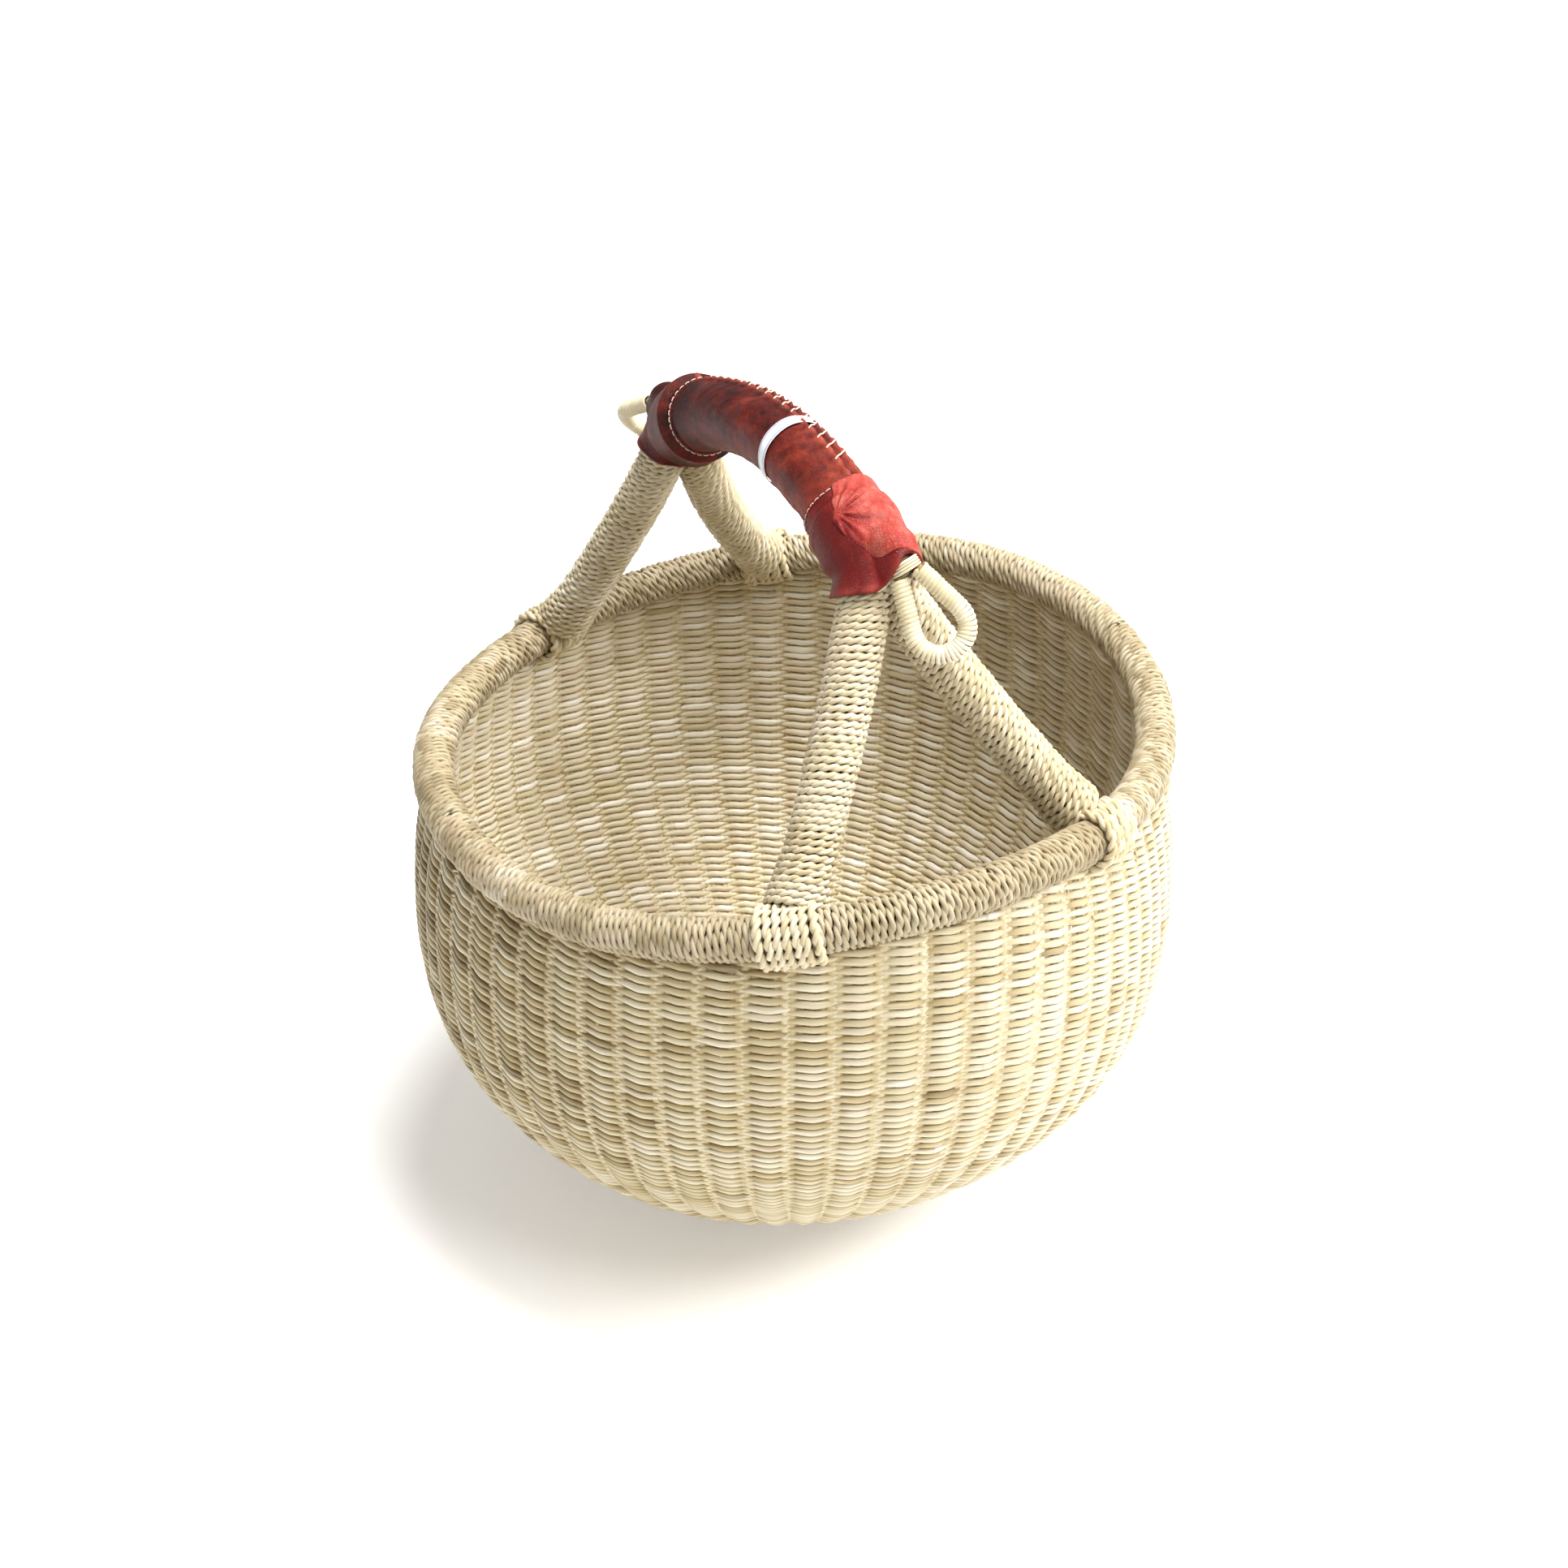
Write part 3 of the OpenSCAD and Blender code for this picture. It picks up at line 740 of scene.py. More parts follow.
def twined_row(surface, row, columns, pitch, swing, rise, half_thick, rng):
    """One row of two-strand twining as a closed double loop. The two strands twist round
    each other, so that each stake is held between an outer and an inner stitch."""
    n = 2 * columns * SEGS
    x = np.arange(n) / SEGS
    a = TAU * x / columns
    p, nn, up, local = surface(a, row, x, rng)
    phase = math.pi * (x + row)
    bulge = np.cos(phase)
    stitch = np.floor(x + row + 0.5).astype(int) % (2 * columns)
    fat = 1 + rng.normal(0.01, 0.05, 2 * columns)[stitch]
    lift = rng.normal(0, 0.10, 2 * columns)[stitch] * np.abs(bulge) * pitch / 3.6
    off = np.sign(bulge) * np.abs(bulge) ** 1.25 * swing
    wave = np.sin(phase)
    climb = np.sign(wave) * np.abs(wave) ** 0.7
    path = p + nn * off[:, None] + up * (-rise * local * climb + lift)[:, None]
    half = local * (0.288 + 0.160 * np.abs(bulge) ** 1.6) * fat
    thick = half_thick * (0.78 + 0.22 * np.abs(bulge))
    tone = strand_tints(rng, n, 9 * SEGS, 1)[0]
    jitter = rng.normal(0, 0.10, (2 * columns, 3))[stitch]
    # Painted shade and light in the strands' colour: darker towards the valleys between stitches and on the side
    # of the basket to the left in the view, away from the key light; the inner stitches are painted lighter to
    # brighten the inside.
    painted_shading = -0.24 * (1 - np.abs(bulge)) ** 1.4 - 0.30 * np.clip(-np.sin(a + 0.35), 0, 1)
    painted_shading = np.where(bulge < 0, painted_shading * 0.4 + 0.26, painted_shading)
    tint = tone * 0.46 + 0.33 + jitter
    tint[:, 0] += painted_shading
    tint = np.clip(tint, 0, 1)
    return tubes(path[None], nn[None], up[None], thick[None], half[None], 8,
                 closed=True, tint=tint[None])


def wall_surface(a, row, x, rng):
    f = (row + 0.5) / ROWS
    f = f + wave_noise(rng, [(0.05, 1.0), (0.23, 0.4)], x) * 0.0009
    p, nn, up = wall_at(a, f)
    local = np.interp(np.mod(a, TAU), grid_a, WALL_RUN) / ROWS
    return p, nn, up, local


WEAVE_SWING = 1.45
WEAVE_RISE = 0.25
WEAVE_THICK = 1.2
BAND_ROWS = 10
WEAVE_PIECES = ["weave_turn", "weave_low", "weave_flare", "weave_belly", "weave_waist",
                "weave_shoulder", "weave_top"]
STANDS_FOR = {"weave_turn": "lower_wall_weave", "weave_belly": "middle_wall_weave",
              "weave_top": "upper_wall_weave"}
for band, name in enumerate(WEAVE_PIECES):
    parts = []
    for row in range(band * BAND_ROWS, (band + 1) * BAND_ROWS):
        flare = 1 - 0.25 * smooth_step(row, 14, 0)
        parts.append(twined_row(wall_surface, row, COLUMNS, MEAN_PITCH, WEAVE_SWING * flare,
                                WEAVE_RISE, WEAVE_THICK, seeded(1000 + row)))
    ob = make_object(name, join(parts), WEAVE, "basket")
    if name in STANDS_FOR:
        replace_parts(ob, STANDS_FOR[name])


def stakes():
    """Five flat straws side by side in each column, so that the wall lets no light through."""
    f = np.linspace(0.0, 1.0, 46)
    paths, acrosses, ups, tints, widths = [], [], [], [], []
    for k in range(COLUMNS):
        a = TAU * k / COLUMNS
        p, nn, up = wall_at(np.full_like(f, a), f)
        side = np.cross(up, nn)
        room = TAU * np.hypot(p[:, 0], p[:, 1]) / COLUMNS
        tone = RNG.uniform(0, 1, 3)
        for j in (-2, -1, 0, 1, 2):
            wander = wave_noise(RNG, [(9, 1.0)], f) * 0.25
            paths.append(p + side * (j * room * 0.2 + wander)[:, None])
            acrosses.append(nn)
            ups.append(side)
            widths.append(room * 0.125)
            tints.append(np.clip(tone + RNG.normal(0, 0.12, 3), 0, 1)[None].repeat(len(f), 0))
    return tubes(np.array(paths), np.array(acrosses), np.array(ups), 0.7, np.array(widths), 6,
                 tint=np.array(tints))


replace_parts(make_object("stakes", stakes(), STAKE, "basket"), "wall_stakes")


def straw_ends(rng, count=170, points=7):
    """Cut straw ends that stand a little proud between the stitches."""
    a = rng.uniform(0, TAU, count)
    high = rng.uniform(0, 1, count) < 0.5
    f = np.where(high, rng.uniform(0.82, 0.99, count), rng.uniform(0.06, 0.9, count))
    column = np.round(a / (TAU) * COLUMNS * 2) / 2 + rng.normal(0, 0.06, count)
    p, nn, up = wall_at(column / COLUMNS * TAU, f)
    side = np.cross(up, nn)
    turn = rng.choice([-1.0, 1.0], count)[:, None]
    way = unit(nn * rng.uniform(0.35, 0.8, count)[:, None] + side * turn * 0.8
               + up * rng.uniform(-0.3, 0.3, count)[:, None])
    reach = np.linspace(-3.0, 1.0, points)[None, :] * rng.uniform(0.6, 1.5, count)[:, None]
    path = p[:, None] + nn[:, None] * 1.7 + way[:, None] * reach[..., None]
    across = np.repeat(np.cross(way, up)[:, None], points, 1)
    return tubes(path, across, np.repeat(up[:, None], points, 1), 0.42, 0.62, 6, tip=0.02)


make_object("straw_ends", straw_ends(seeded(404)), LASH, "basket")

# ---- base
base_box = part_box("base_weave")
BASE_R = (base_box[1].x - base_box[0].x) / 2 / MM
BASE_H = (base_box[1].z - base_box[0].z) / MM
BASE_ROWS = 18
BASE_PITCH = (BASE_R - 1.5) / BASE_ROWS


def base_surface(a, row, x, rng):
    r = BASE_R - 1.0 - (row + 0.5) * BASE_PITCH
    r = r + wave_noise(rng, [(0.08, 1.0)], x) * 0.2
    p = np.stack([r * np.cos(a), r * np.sin(a), np.full_like(a, BASE_H / 2)], -1)
    nn = np.broadcast_to(-UP, p.shape)
    up = np.stack([np.cos(a), np.sin(a), 0 * a], -1)
    return p, nn, up, np.full_like(a, BASE_PITCH)


def base_columns(r):
    """Fewer stitches in a round as the rounds get smaller."""
    return COLUMNS if r > 44 else (31 if r > 22 else 15)


parts = [twined_row(base_surface, row, base_columns(BASE_R - (row + 0.5) * BASE_PITCH), BASE_PITCH,
                    1.75, 0.26, 1.05, seeded(3000 + row))
         for row in range(BASE_ROWS)]
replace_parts(make_object("base_weaving", join(parts), WEAVE, "basket"), "base_weave")


def bundles(count=31, points=60):
    """The crossing pairs of stalks that the weaving starts from."""
    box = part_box("base_spokes")
    reach = (box[1].x - box[0].x) / 2 / MM
    x = np.linspace(-1, 1, points)
    paths, acrosses, ups = [], [], []
    for k in range(count):
        a = math.pi * k / count
        way = np.array([math.cos(a), math.sin(a), 0])
        side = np.array([-math.sin(a), math.cos(a), 0])
        rise = BASE_H / 2 + 1.2 * bell(x * reach, 0, 9) * ((k % 3) - 1)
        for j in (-1, 1):
            spread = j * (0.35 + 0.75 * np.abs(x))
            paths.append(way * (x * reach)[:, None] + side * spread[:, None] + UP * rise[:, None])
            acrosses.append(np.broadcast_to(UP, (points, 3)))
            ups.append(np.broadcast_to(side, (points, 3)))
    return tubes(np.array(paths), np.array(acrosses), np.array(ups), 0.9, 0.95, 6, tip=0.02)


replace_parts(make_object("base_bundles", bundles(), STAKE, "basket"), "base_spokes")

# ---- rim wrap
RIM_TURNS = 372
RIM_PARTS = 4
for i in range(RIM_PARTS):
    mesh = cord_winding(rim_line, RIM_TUBE_R + 0.15, rim_line.length / RIM_TURNS,
                        rim_line.length * i / RIM_PARTS, rim_line.length * (i + 1) / RIM_PARTS,
                        size=1.66, twist=12.0, segs=40, wobble=0.30, lean=1.2,
                        rng=seeded(50 + i))
    ob = make_object("rim_cord_%d" % (i + 1), mesh, RIM_CORD, "basket")
    if i == 0:
        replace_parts(ob, "rim_wrap")
show_grass("rim_core")

# ---- legs
LEGS = ["right_front", "right_back", "left_front", "left_back"]
LEG_PITCH = 3.05


def leg_line(leg):
    """Centre line of a leg, from the rim to the grip."""
    core = leg + "_leg_core"
    pts = node_points(core)
    mid = pts.mean(0)
    way = np.linalg.svd(pts - mid, full_matrices=False)[2][0]
    axis = tube_axis(core, mid, way * np.sign(way[2]), 2.0, 30)
    return Line(smooth_line(axis[1:-1], 4, 0.5, 0.5), np.array([0.0, 1.0, 0.0]))


def wrap_radius(leg, line):
    """Largest radius of the CAD winding half way up the leg."""
    tree = node_tree(leg + "_leg_wrap")
    p, _, nn, bb = line.at(np.array([line.length / 2]))
    found = [ray(tree, p[0] + w * PROBE, -w, 60) for w in (nn[0], bb[0], -nn[0], -bb[0])]
    return max(PROBE - d for d in found if d is not None)


def leg_winding(leg, rng):
    """The cord up a leg, fuller at its foot and slimmer at its neck."""
    line = leg_lines[leg]
    full = wrap_radius(leg, line)

    def radius(s):
        foot = 1.6 * (1 - smooth_step(s, 4, 26))
        neck = -0.8 * smooth_step(s, line.length - 30, line.length)
        return full + foot + neck + 0.15

    return cord_winding(line, radius, LEG_PITCH, 1.0, line.length - 1.0, size=1.74, twist=9.6,
                        segs=44, wobble=0.34, lean=1.5, rng=rng)


leg_lines = {leg: leg_line(leg) for leg in LEGS}
for i, leg in enumerate(LEGS):
    ob = make_object(leg + "_leg_cord", leg_winding(leg, seeded(70 + i)), CORD,
                     "basket")
    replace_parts(ob, leg + "_leg_wrap")
    show_grass(leg + "_leg_core")

# ---- lashings
LASH_CORDS = 7
LASH_GAP = 3.45
LASH_TWIST = 10.5
PLY_OFF = 0.95
PLY_HALF = 1.28


def lashing(leg, rng):
    """Two-ply cords side by side round the rim, where a leg meets it."""
    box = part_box(leg + "_lashing")
    mid = np.array((box[0] + box[1]) / 2) / MM
    mid_angle = math.atan2(mid[1], mid[0])
    parts = []
    for k in range(LASH_CORDS):
        a = mid_angle + (k - (LASH_CORDS - 1) / 2) * LASH_GAP / float(rim_r(np.array(mid_angle)))
        c = rim_at(np.array(a))
        t = unit(rim_at(np.array(a + 0.01)) - rim_at(np.array(a - 0.01)))
        flat = np.array([c[0], c[1], 0.0])
        out = unit(flat - t * (flat @ t))
        top = np.cross(t, out)
        top = top * np.sign(top[2])
        psi = np.linspace(0, TAU, 97)[:-1]
        er = outward(out, top, psi)
        slant = rng.uniform(-0.9, 0.9)
        r = RIM_TUBE_R + 2.1 + 0.35 * wave_noise(rng, [(1.0, 1.0)], psi) * np.sin(psi)
        centre = c + er * r[:, None] + t * (slant * np.sin(psi + rng.uniform(0, 6)))[:, None]
        length = along(np.concatenate([centre, centre[:1]]))
        twist = length[-1] / round(length[-1] / LASH_TWIST)
        for ply in (0, 1):
            tau = TAU * length[:-1] / twist + ply * math.pi
            path = centre + PLY_OFF * outward(er, t, tau)
            parts.append(tubes(path[None], er[None], np.broadcast_to(t, er.shape)[None],
                               PLY_HALF, PLY_HALF, 8, closed=True))
    return join(parts)


for i, leg in enumerate(LEGS):
    ob = make_object(leg + "_lashing_cord", lashing(leg, seeded(90 + i)), LASH,
                     "basket")
    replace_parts(ob, leg + "_lashing")

# ---- grip
grip_mount = [m for m in RECORD["mounts"] if m["name"] == "grip"][0]
grip_top = np.array(grip_mount["pos_m"]) / MM
grip_axis = tube_axis("grip_core", grip_top, np.array([1.0, 0.0, 0.07]), 2.0, 40)
left_way = -unit(leg_lines["left_front"].t[-1] + leg_lines["left_back"].t[-1])
right_way = -unit(leg_lines["right_front"].t[-1] + leg_lines["right_back"].t[-1])
TAIL = 15.0


def bent_tail(start, first, last):
    """Points on from the grip's end, turning towards the way the legs run."""
    out, p = [], start
    for k in range(1, int(TAIL / 1.5) + 1):
        p = p + unit(first + (last - first) * min(1.0, k / 6)) * 1.5
        out.append(p)
    return np.array(out)


grip_axis = np.concatenate([
    bent_tail(grip_axis[0], unit(grip_axis[0] - grip_axis[2]), left_way)[::-1], grip_axis,
    bent_tail(grip_axis[-1], unit(grip_axis[-1] - grip_axis[-3]), right_way)])
grip_axis = smooth_line(grip_axis, 13)
grip = Line(grip_axis, UP)
GRIP_LEN = grip.length
JOINTS = {j["name"]: j for j in frame["joints"]}


def cad_sleeve_radius():
    """Leather radius along the grip, measured on the CAD sleeve and cuffs."""
    tree = node_tree("grip_leather")
    s = np.linspace(TAIL + 2, GRIP_LEN - TAIL - 2, 60)
    p, _, nn, bb = grip.at(s)
    out = []
    for i in range(len(s)):
        found = []
        for w in (nn[i], -nn[i], bb[i], -bb[i]):
            d = ray(tree, p[i] + w * PROBE, -w, 60)
            if d is not None and d < PROBE:
                found.append(PROBE - d)
        out.append(np.median(found) if found else np.nan)
    out = np.array(out)
    good = ~np.isnan(out)
    return s[good], out[good]


sleeve_s, sleeve_r = cad_sleeve_radius()


def hull_radius(hit, angles):
    """Distance from the middle to the tightest skin stretched over points at those distances."""
    gap = angles[:, None] - angles[None, :]
    support = (hit[None, :] * np.cos(gap)).max(1)
    lean = np.cos(gap)
    return np.where(lean > 0.15, support[None, :] / np.maximum(lean, 0.15), 1e3).min(1)


DRAPE_S = np.linspace(0, GRIP_LEN, 150)
DRAPE_T = np.linspace(0, TAU, 73)
DRAPE_REACH = 31.0


def drape_table():
    """What lies under the leather at each place: the tops of the legs."""
    tree = node_tree(*[leg + "_leg_wrap" for leg in LEGS])
    table = np.zeros((len(DRAPE_S), len(DRAPE_T)))
    p, _, nn, bb = grip.at(DRAPE_S)
    for i, s in enumerate(DRAPE_S):
        if 40 < s < GRIP_LEN - 40:
            continue
        hit = np.zeros(len(DRAPE_T) - 1)
        for k, th in enumerate(DRAPE_T[:-1]):
            er = nn[i] * math.cos(th) + bb[i] * math.sin(th)
            d = ray(tree, p[i] + er * DRAPE_REACH, -er, DRAPE_REACH)
            if d is not None and d > 0.01:
                hit[k] = DRAPE_REACH - d
        if hit.max() > 0:
            table[i, :-1] = hull_radius(hit, DRAPE_T[:-1])
            table[i, -1] = table[i, 0]
    for _ in range(3):
        table[1:-1] = (table[:-2] + 2 * table[1:-1] + table[2:]) / 4
    return table


DRAPE = drape_table()


def draped(s, th):
    return bilinear(DRAPE, np.clip(s / GRIP_LEN, 0, 1) * (len(DRAPE_S) - 1),
                    np.mod(th, TAU) / (TAU) * (len(DRAPE_T) - 1))


def station_of(point):
    """Distance along the grip, angle round it and distance from it of a point beside it."""
    near = np.linspace(0, GRIP_LEN, 1500)
    p, t, nn, bb = grip.at(near)
    off = np.abs(((point - p) * t).sum(1)) + 0.2 * np.linalg.norm(point - p, axis=1)
    k = int(np.argmin(off))
    d = point - p[k]
    return float(near[k]), math.atan2(d @ bb[k], d @ nn[k]), float(np.linalg.norm(d))


ROOTS = {side: station_of(np.array(JOINTS[side + "_loop_swing"]["pos_m"]) / MM)
         for side in ("right", "left")}


def grip_radius(s, th):
    """Hand-made sleeve: slim in the middle, fuller to its ends, drawn in round the legs, and
    tented over the place where each hanging loop comes out."""
    cad = np.interp(s, sleeve_s, sleeve_r)
    slim = 0.6 * bell(s / GRIP_LEN, 0.47, 0.20)
    plump = 0.9 * bell(s, 38, 16)
    inside = smooth_step(s, 1, TAIL + 2) * (1 - smooth_step(s, GRIP_LEN - TAIL - 2, GRIP_LEN - 1))
    own = (cad - slim + plump) * (0.35 + 0.65 * inside)
    under = draped(s, th) + 1.9
    r = (own ** 10 + under ** 10) ** 0.1
    for side, (s_root, th_root, r_root) in ROOTS.items():
        gap = turn_gap(th, th_root)
        if side == "right":
            near = smooth_step(s, s_root - 22, s_root - 6)
        else:
            near = 1 - smooth_step(s, s_root + 6, s_root + 22)
        tent = (r_root + 3.6) * near * np.exp(-(np.abs(gap) / 0.62) ** 3)
        r = (r ** 8 + tent ** 8) ** 0.125
    return r


SKIN_R = 16.0


def skin_mesh(s, th, radius, thick, fibre, tint, closed):
    """A skin round the grip with an outer and an inner side, joined along its edges."""
    rows, cols = s.shape
    p, _, nn, bb = grip.at(s)
    er = outward(nn, bb, th)
    verts = [(p + er * r[..., None]).reshape(-1, 3) for r in (radius, radius - thick)]
    idx = np.arange(rows * cols).reshape(rows, cols)
    low = rows * cols
    here, nxt = (idx, np.roll(idx, -1, 1)) if closed else (idx[:, :-1], idx[:, 1:])
    quads = [np.stack([here[:-1], nxt[:-1], nxt[1:], here[1:]], -1).reshape(-1, 4),
             np.stack([here[:-1], here[1:], nxt[1:], nxt[:-1]], -1).reshape(-1, 4) + low,
             np.stack([here[0], here[0] + low, nxt[0] + low, nxt[0]], -1),
             np.stack([here[-1], nxt[-1], nxt[-1] + low, here[-1] + low], -1)]
    if not closed:
        one, two = idx[:, 0], idx[:, -1]
        quads += [np.stack([one[:-1], one[1:], one[1:] + low, one[:-1] + low], -1),
                  np.stack([two[:-1], two[:-1] + low, two[1:] + low, two[1:]], -1)]
    attributes = {"fibre": np.tile(fibre.reshape(-1, 3), (2, 1)),
                  "tint": np.tile(tint.reshape(-1, 3), (2, 1))}
    return np.concatenate(verts), np.concatenate(quads), attributes


def leather_shell(start, end, rows, cols, lift, seed, dye_and_painted_light, creases, folds, thick=1.4, span=None):
    """Leather round the grip between two edges, each a distance for every angle. span limits
    it to part of the way round, as (first angle, last angle) for every row share."""
    rng = seeded(seed)
    closed = span is None
    share, around = np.meshgrid(np.linspace(0, 1, rows),
                                np.linspace(0, 1, cols, endpoint=not closed), indexing="ij")
    if closed:
        TH = around * TAU
    else:
        first, last = span(share)
        TH = first + (last - first) * around
    S = start(TH) + (end(TH) - start(TH)) * share
    cx, cy = SKIN_R * np.cos(TH), SKIN_R * np.sin(TH)
    bumpy = wave_noise(rng, [(0.10, 1.0), (0.22, 0.7), (0.5, 0.3)], S, cx, cy)
    crease = wave_noise(rng, [(0.30, 1.0), (0.55, 0.8), (0.9, 0.4)], S, 0.6 * cx, 0.6 * cy)
    patchy = 0.5 + 0.5 * wave_noise(rng, [(0.08, 1.0)], S, cx, cy)
    crease = (0.22 - np.abs(crease)) * np.clip(patchy, 0, 1)
    tiny = wave_noise(rng, [(1.2, 1.0), (2.2, 0.6)], S, cx, cy)
    h = 0.30 * bumpy + creases * crease * 1.6 + 0.05 * tiny
    h = h + folds(S, TH, share)
    R = grip_radius(S, TH) + lift + h
    if closed and lift == 0:
        R = np.maximum(R, np.interp(S, sleeve_s, sleeve_r) - 0.9)
    if not closed:
        thin_edge = np.minimum(np.minimum(around, 1 - around) * cols / 3.0, 1)
        R = R - 0.55 * (1 - thin_edge)
    # Painted light and shade from the relief: lighter on raised folds, darker in creases.
    painted_ridge_light = np.clip((h - 0.1) * 0.7, 0, 1)
    painted_crease_shade = np.clip(-h * 0.8 - 0.15, 0, 1)
    tint = np.stack([np.broadcast_to(dye_and_painted_light(S, TH), S.shape), painted_ridge_light, painted_crease_shade], -1)
    return skin_mesh(S, TH, R, thick, np.stack([cx, cy, S], -1), tint, closed)


FRONT_CUFF = GRIP_LEN - 44.0
REAR_CUFF = 42.0

# the seam's place round the tube, towards the far side of the top
SEAM_TURN = math.radians(15)
mid_b = grip.at(np.array([GRIP_LEN / 2]))[3][0]
SEAM = -SEAM_TURN if mid_b[1] < 0 else SEAM_TURN
LACE_PITCH = 8.0


def sleeve_dye(S, TH):
    x = S / GRIP_LEN
    return 0.20 + 0.44 * smooth_step(x, 0.22, 0.75) - 0.08 * np.cos(TH)


def sleeve_folds(S, TH, share):
    """Puckers where the lacing pulls the seam together."""
    gap = turn_gap(TH, SEAM) * SKIN_R
    pull = 0.5 + 0.5 * np.cos(TAU * (S - REAR_CUFF - 2) / LACE_PITCH)
    ditch = -1.5 * bell(gap, 0, 1.3)
    roll = (0.5 + 1.0 * pull) * bell(np.abs(gap), 3.2, 1.9)
    tug = -0.5 * (1 - pull) * bell(np.abs(gap), 6.5, 3.0)
    return ditch + roll + tug


sleeve = leather_shell(lambda TH: REAR_CUFF - 9 + 0 * TH, lambda TH: FRONT_CUFF + 9 + 0 * TH,
                       360, 128, 0.0, 11, sleeve_dye, 0.30, sleeve_folds)
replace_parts(make_object("leather_sleeve", sleeve, SLEEVE, "basket"),
            "grip_leather")

# the side of the front cuff that the picture is taken from, and the way to its right
_, _, cuff_n, cuff_b = grip.at(np.array([FRONT_CUFF + 18.0]))
FACING = math.atan2(back @ cuff_b[0], back @ cuff_n[0])
screen_right = np.array([math.cos(CAMERA_AZIMUTH), math.sin(CAMERA_AZIMUTH), 0.0])
quarter = outward(cuff_n[0], cuff_b[0], FACING + math.pi / 2)
TO_RIGHT = 1.0 if quarter @ screen_right > 0 else -1.0


def dipped(TH, side, full, limit):
    """A cuff's outer edge, drawn in where the loop comes out."""
    dip = bell(turn_gap(TH, ROOTS[side][1]), 0, 0.40)
    return full + (limit - full) * dip


def front_start(TH):
    return FRONT_CUFF + 1.8 * np.sin(TH + 0.4) + 0.7 * np.sin(3 * TH)


def front_end(TH):
    full = GRIP_LEN - 3.0 + 0.8 * np.sin(3 * TH + 1.0)
    return dipped(TH, "right", full, min(ROOTS["right"][0] - 3.0, GRIP_LEN - 3.0))


def rear_start(TH):
    full = 3.0 + 0.8 * np.sin(3 * TH + 2.0)
    return dipped(TH, "left", full, max(ROOTS["left"][0] + 3.0, 3.0))


def rear_end(TH):
    return REAR_CUFF + 1.5 * np.sin(TH + 2.0) + 0.6 * np.sin(3 * TH + 1.0)


def pinch(S, TH, end, way, count, depth):
    """Gathers that run to the edge, deepest where the leather is tied in."""
    near = np.exp(-np.clip(way * (end - S), 0, 99) / 7.0)
    return depth * near * np.sin(count * TH + 1.3 * np.sin(2 * TH))


# Painted light: lighter towards the right of the view, where the key light stands, and darker to the left, over
# the cuff's own dark red colour.
def front_dye_and_painted_light(S, TH):
    return 0.06 + 0.2 * np.sin((TH - FACING) * TO_RIGHT)


def front_folds(S, TH, share):
    lip = 0.55 * bell(share, 0.012, 0.02)
    hem = 0.5 * bell(share, 0.975, 0.03) - 0.6 * smooth_step(share, 0.985, 1.0)
    return lip + hem + pinch(S, TH, front_end(TH), 1, 11, 0.35)


front_cuff = leather_shell(front_start, front_end, 150, 144, 0.9, 12, front_dye_and_painted_light, 0.35, front_folds)
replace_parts(make_object("front_cuff_leather", front_cuff, RED, "basket"), "right_cuff")

# the flap: the cuff's outer end, folded over and round to the far side
FLAP_SHARES = (0.0, 0.15, 0.40, 0.58, 0.72, 0.85, 0.95, 1.0)
FLAP_EDGE = (-0.02, -0.14, -0.40, -0.30, -0.05, 0.22, 0.48, 0.60)


def flap_span(share):
    x = np.interp(share, FLAP_SHARES, FLAP_EDGE)
    for _ in range(3):
        x[1:-1] = (x[:-2] + x[1:-1] + x[2:]) / 3
    return FACING + TO_RIGHT * np.arcsin(x), FACING + TO_RIGHT * 3.3 + 0 * x


def flap_folds(S, TH, share):
    """Fine folds that fan out over the flap from the corner where it is caught."""
    dx = turn_gap(TH, FACING - TO_RIGHT * 0.28) * SKIN_R * TO_RIGHT
    dy = (share - 0.36) * 40
    way = np.arctan2(dy, dx)
    reach = np.hypot(dx, dy)
    fan = 0.6 * np.sin(13 * way + 1.6 * np.sin(2.3 * way + 0.4)) + 0.4 * np.sin(23 * way + 1.1)
    fan = fan * np.exp(-reach / 24) * smooth_step(reach, 0.5, 5)
    lip = 0.35 * bell(share, 0.02, 0.03)
    return 0.85 * fan + lip + pinch(S, TH, front_end(TH), 1, 9, 0.4)


# Painted light: lighter towards the right of the view, where the key light stands, and darker to the left, over
# the flap's own red colour.
def flap_dye_and_painted_light(S, TH):
    return 0.80 + 0.24 * np.sin((TH - FACING) * TO_RIGHT)


flap = leather_shell(lambda TH: front_start(TH) + 0.8, lambda TH: front_end(TH) - 0.6, 120, 150,
                     1.75, 14, flap_dye_and_painted_light, 0.30, flap_folds, thick=1.2, span=flap_span)
make_object("front_cuff_flap", flap, RED, "basket")


def rear_dye(S, TH):
    return 0.12 + 0.16 * np.sin(TH + 2.4) ** 2


def rear_folds(S, TH, share):
    lip = -0.35 * smooth_step(share, 0.985, 1.0)
    hem = 0.5 * bell(share, 0.03, 0.03) - 0.6 * smooth_step(0.02 - share, 0.0, 0.02)
    return lip + hem + pinch(S, TH, rear_start(TH), -1, 10, 0.5)


rear_cuff = leather_shell(rear_start, rear_end, 150, 144, 0.45, 13, rear_dye, 0.35, rear_folds)
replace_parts(make_object("rear_cuff_leather", rear_cuff, SLEEVE, "basket"),
            "left_cuff")

# ---- threads and ribbon
STITCH_MARKS = 34


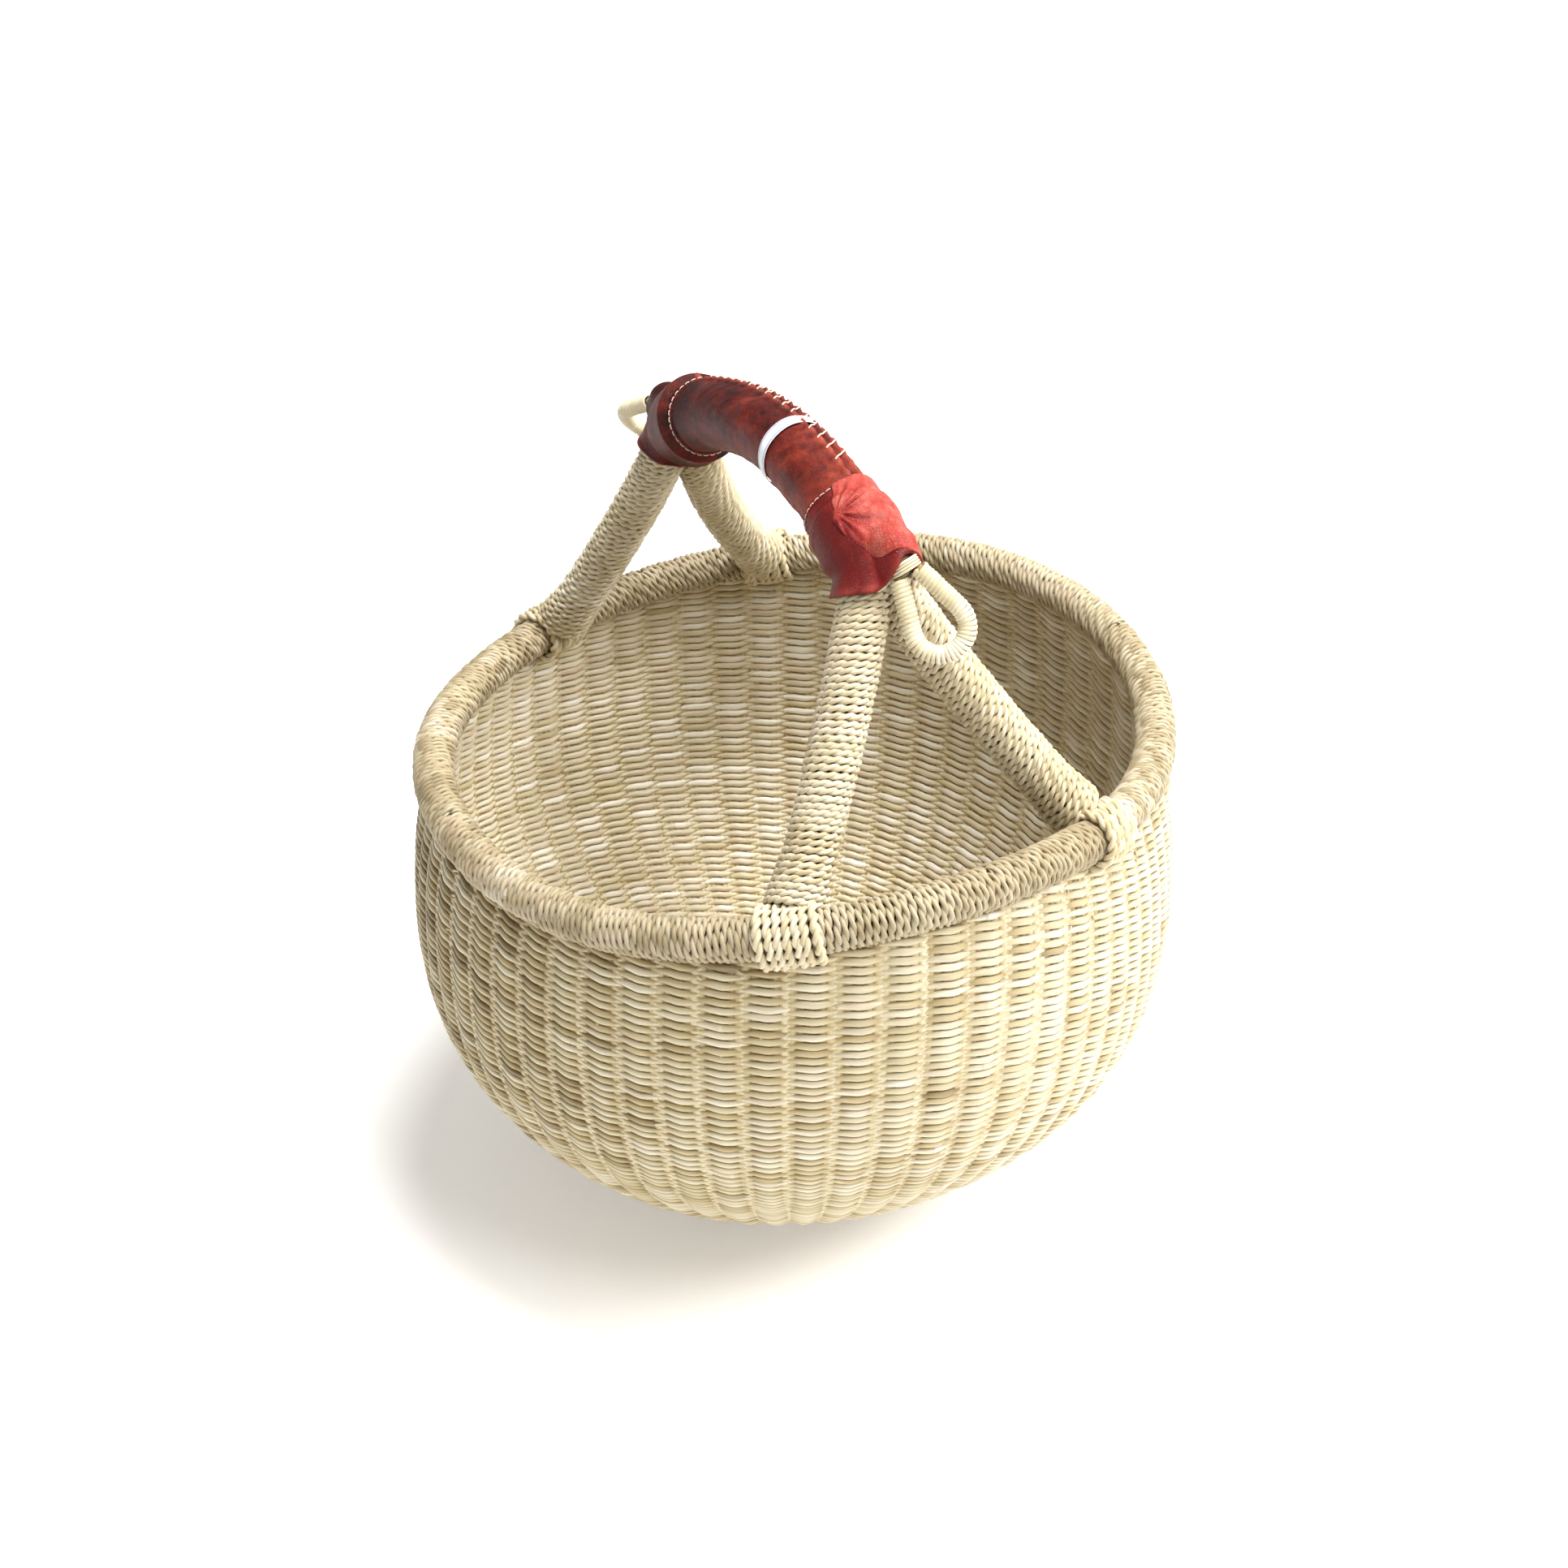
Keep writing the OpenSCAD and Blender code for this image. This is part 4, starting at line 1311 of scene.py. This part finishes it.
def thread_tube(s, th, lift, thickness):
    """A thread that lies over the leather at the given places."""
    p, _, nn, bb = grip.at(s)
    er = outward(nn, bb, th)
    pts = p + er * (grip_radius(s, th) + lift)[:, None]
    side = unit(np.cross(er, unit(np.gradient(pts, axis=0))))
    return tubes(pts[None], er[None], side[None], thickness, thickness, 6, tip=0.06)


def lacing():
    """Long slanted stitches over the seam."""
    parts = []
    for k in range(int((FRONT_CUFF - REAR_CUFF - 6) / LACE_PITCH)):
        x = np.linspace(0, 1, 24)
        s = REAR_CUFF + 6 + k * LACE_PITCH + (x - 0.5) * 8.5
        gap = (x - 0.5) * 9.5
        lift = 1.15 * bell(np.abs(gap), 3.0, 2.6) + 0.45
        parts.append(thread_tube(s, SEAM + gap / SKIN_R, lift, 0.36))
    return join(parts)


def edge_stitches(edge, inward, over):
    """Short stitches in a row beside a cuff's edge."""
    parts = []
    for k in range(STITCH_MARKS):
        x = np.linspace(0.06, 0.94, 10)
        th = TAU * (k + x) / STITCH_MARKS
        lift = over + 0.42 * np.sin(math.pi * (x - 0.06) / 0.88) ** 0.5
        parts.append(thread_tube(edge(th) + inward, th, lift, 0.26))
    return join(parts)


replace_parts(make_object("lacing", lacing(), THREAD, "basket"), "seam_lacing")
for name, edge, inward, over in (("right_cuff_stitch", front_start, 1.6, 1.0),
                                 ("left_cuff_stitch", rear_end, -1.2, 0.62)):
    mesh = edge_stitches(edge, inward, over)
    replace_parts(make_object(name + "es", mesh, THREAD, "basket"), name)


def ribbon_band(rows=15, cols=160, half_width=3.0, thick=0.35):
    """A ribbon round the sleeve, where the CAD label band is."""
    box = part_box("label_band")
    middle_x = (box[0].x + box[1].x) / 2 / MM
    near = np.linspace(0, GRIP_LEN, 600)
    station = float(near[np.argmin(np.abs(grip.at(near)[0][:, 0] - middle_x))])
    W, TH = np.meshgrid(np.linspace(-half_width, half_width, rows),
                        np.linspace(0, TAU, cols, endpoint=False), indexing="ij")
    S = station + W + 0.7 * np.sin(TH + 0.5)
    ruck = wave_noise(seeded(31), [(1.0, 1.0), (3.0, 0.5)], TH * 2, W * 0.15) * 0.22
    return skin_mesh(S, TH, grip_radius(S, TH) + 0.95 + ruck, thick,
                     np.stack([W, 0 * W, TH * 15], -1), np.full((rows, cols, 3), 0.5), True)


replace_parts(make_object("ribbon_band", ribbon_band(), RIBBON, "basket"), "label_band")
show_grass("grip_core", "grip_padding")

# ---- loops
class Loop:
    """Where a hanging loop is: its root, hinge, the way it hangs, its cord's line and radius."""

    def __init__(self, side):
        joint = JOINTS[side + "_loop_swing"]
        self.root = np.array(joint["pos_m"]) / MM
        self.hinge = unit(np.array(joint["axis"]))
        core = node_points(side + "_loop_core")
        reach = np.linalg.norm(core - self.root, axis=1).max()
        down = unit(core.mean(0) - self.root)
        self.down = unit(down - self.hinge * (down @ self.hinge))
        self.flat = np.cross(self.hinge, self.down)
        lowest = self.root + self.down * (reach - 2.5)
        axis = tube_axis(side + "_loop_core", lowest, self.hinge, 0.8, 10)
        self.line = Line(smooth_line(axis, 14, 0.0, 0.0, 500), self.flat)
        wrap = node_points(side + "_loop_wrap")
        self.radius = float(np.percentile(np.abs((wrap - self.root) @ self.flat), 99))

    def binding(self, turns=4, pitch=1.15):
        """The binding across the two strands at the root."""
        rings = []
        for k in range(turns):
            lower = self.down * ((k - 3.0) * pitch)
            angle = np.linspace(0, TAU, 49)[:-1]
            ring = (self.root + lower + self.hinge * ((self.radius + 2.0) * np.cos(angle))[:, None]
                    + self.flat * ((self.radius - 0.3) * np.sin(angle))[:, None])
            out = unit(ring - self.root - lower)
            rings.append(tubes(ring[None], out[None], np.broadcast_to(self.down, ring.shape)[None],
                               0.60, 0.55, 8, closed=True))
        return join(rings)

    def stubs(self, side, points=20):
        """The cord's two ends, tucked in under the leather beside the grip."""
        s_root, th_root, r_root = ROOTS[side]
        way = -1.0 if side == "right" else 1.0
        x = np.linspace(0, 1, points)
        p, _, nn, bb = grip.at(s_root + way * 13 * x)
        sunk = p + outward(nn, bb, th_root) * (r_root - 2.5 - 9.5 * x)[:, None]
        ends = []
        for place in (-1, 1):
            track = sunk + self.hinge * (place * (2.6 - 1.2 * x))[:, None]
            ends.append(flat_winding(Line(track, self.flat), self.radius - 1.0, 0.004))
        return join(ends)


for seed, side in ((210, "right"), (211, "left")):
    loop = Loop(side)
    body = side + "_loop"
    wound = flat_winding(loop.line, loop.radius - LOOP_STRAW_HALF[0], 0.002,
                         seeded(seed))
    ob = make_object(side + "_loop_winding", wound, LOOP, body)
    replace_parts(ob, side + "_loop_wrap")
    ob = make_object(side + "_loop_binding", loop.binding(), LOOP, body)
    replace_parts(ob, side + "_loop_knot")
    show_grass(side + "_loop_core")
    ob = make_object(side + "_loop_stubs", loop.stubs(side), LOOP, "basket")
    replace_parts(ob, side + "_loop_seat")

# ---- floor and light
def stage_material():
    """A bright matt floor."""
    m = Mat("floor", 0.75, 0.2)
    m.set({"Base Color": m.ramp(m.noise(m.place(), 3.0), [(0.3, "#f4f3f1"), (0.7, "#f8f7f5")]),
           "Emission Color": (1.0, 0.995, 0.985, 1),
           "Emission Strength": 0.32})
    return m.material


FLOOR_SIZE = 14
FLOOR_DROP = 0.0004
bpy.ops.mesh.primitive_plane_add(size=FLOOR_SIZE, location=(0, 0, CAD_BOX[0][2] - FLOOR_DROP))
floor = bpy.context.object
floor.name = "floor"
floor.data.materials.append(stage_material())
floor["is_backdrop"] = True


def area_light(name, place, size, power, colour=(1, 1, 1)):
    data = bpy.data.lights.new(name, "AREA")
    data.shape = "DISK"
    data.size = size
    data.energy = power
    data.color = colour
    ob = bpy.data.objects.new(name, data)
    ob.location = place
    aim = Vector((0, 0, 0.18)) - Vector(place)
    ob.rotation_euler = aim.to_track_quat("-Z", "Y").to_euler()
    SCENE.collection.objects.link(ob)


area_light("key", (0.9, 2.1, 1.5), 1.2, 57, (0.99, 0.99, 1.0))
area_light("front", (1.5, 0.5, 2.2), 1.2, 34, (1.0, 0.99, 0.97))
area_light("top", (0.15, 0.3, 2.3), 0.9, 70)
world = bpy.data.worlds.new("world")
world.use_nodes = True
world.node_tree.nodes["Background"].inputs["Color"].default_value = (1.0, 1.0, 1.0, 1)
world.node_tree.nodes["Background"].inputs["Strength"].default_value = 0.36
SCENE.world = world
SCENE.view_settings.view_transform = "Standard"


def plain(value):
    return [plain(v) for v in value] if hasattr(value, "__len__") else float(value)


{"cad": plain(CAD_BOX), "visual": plain(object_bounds())}
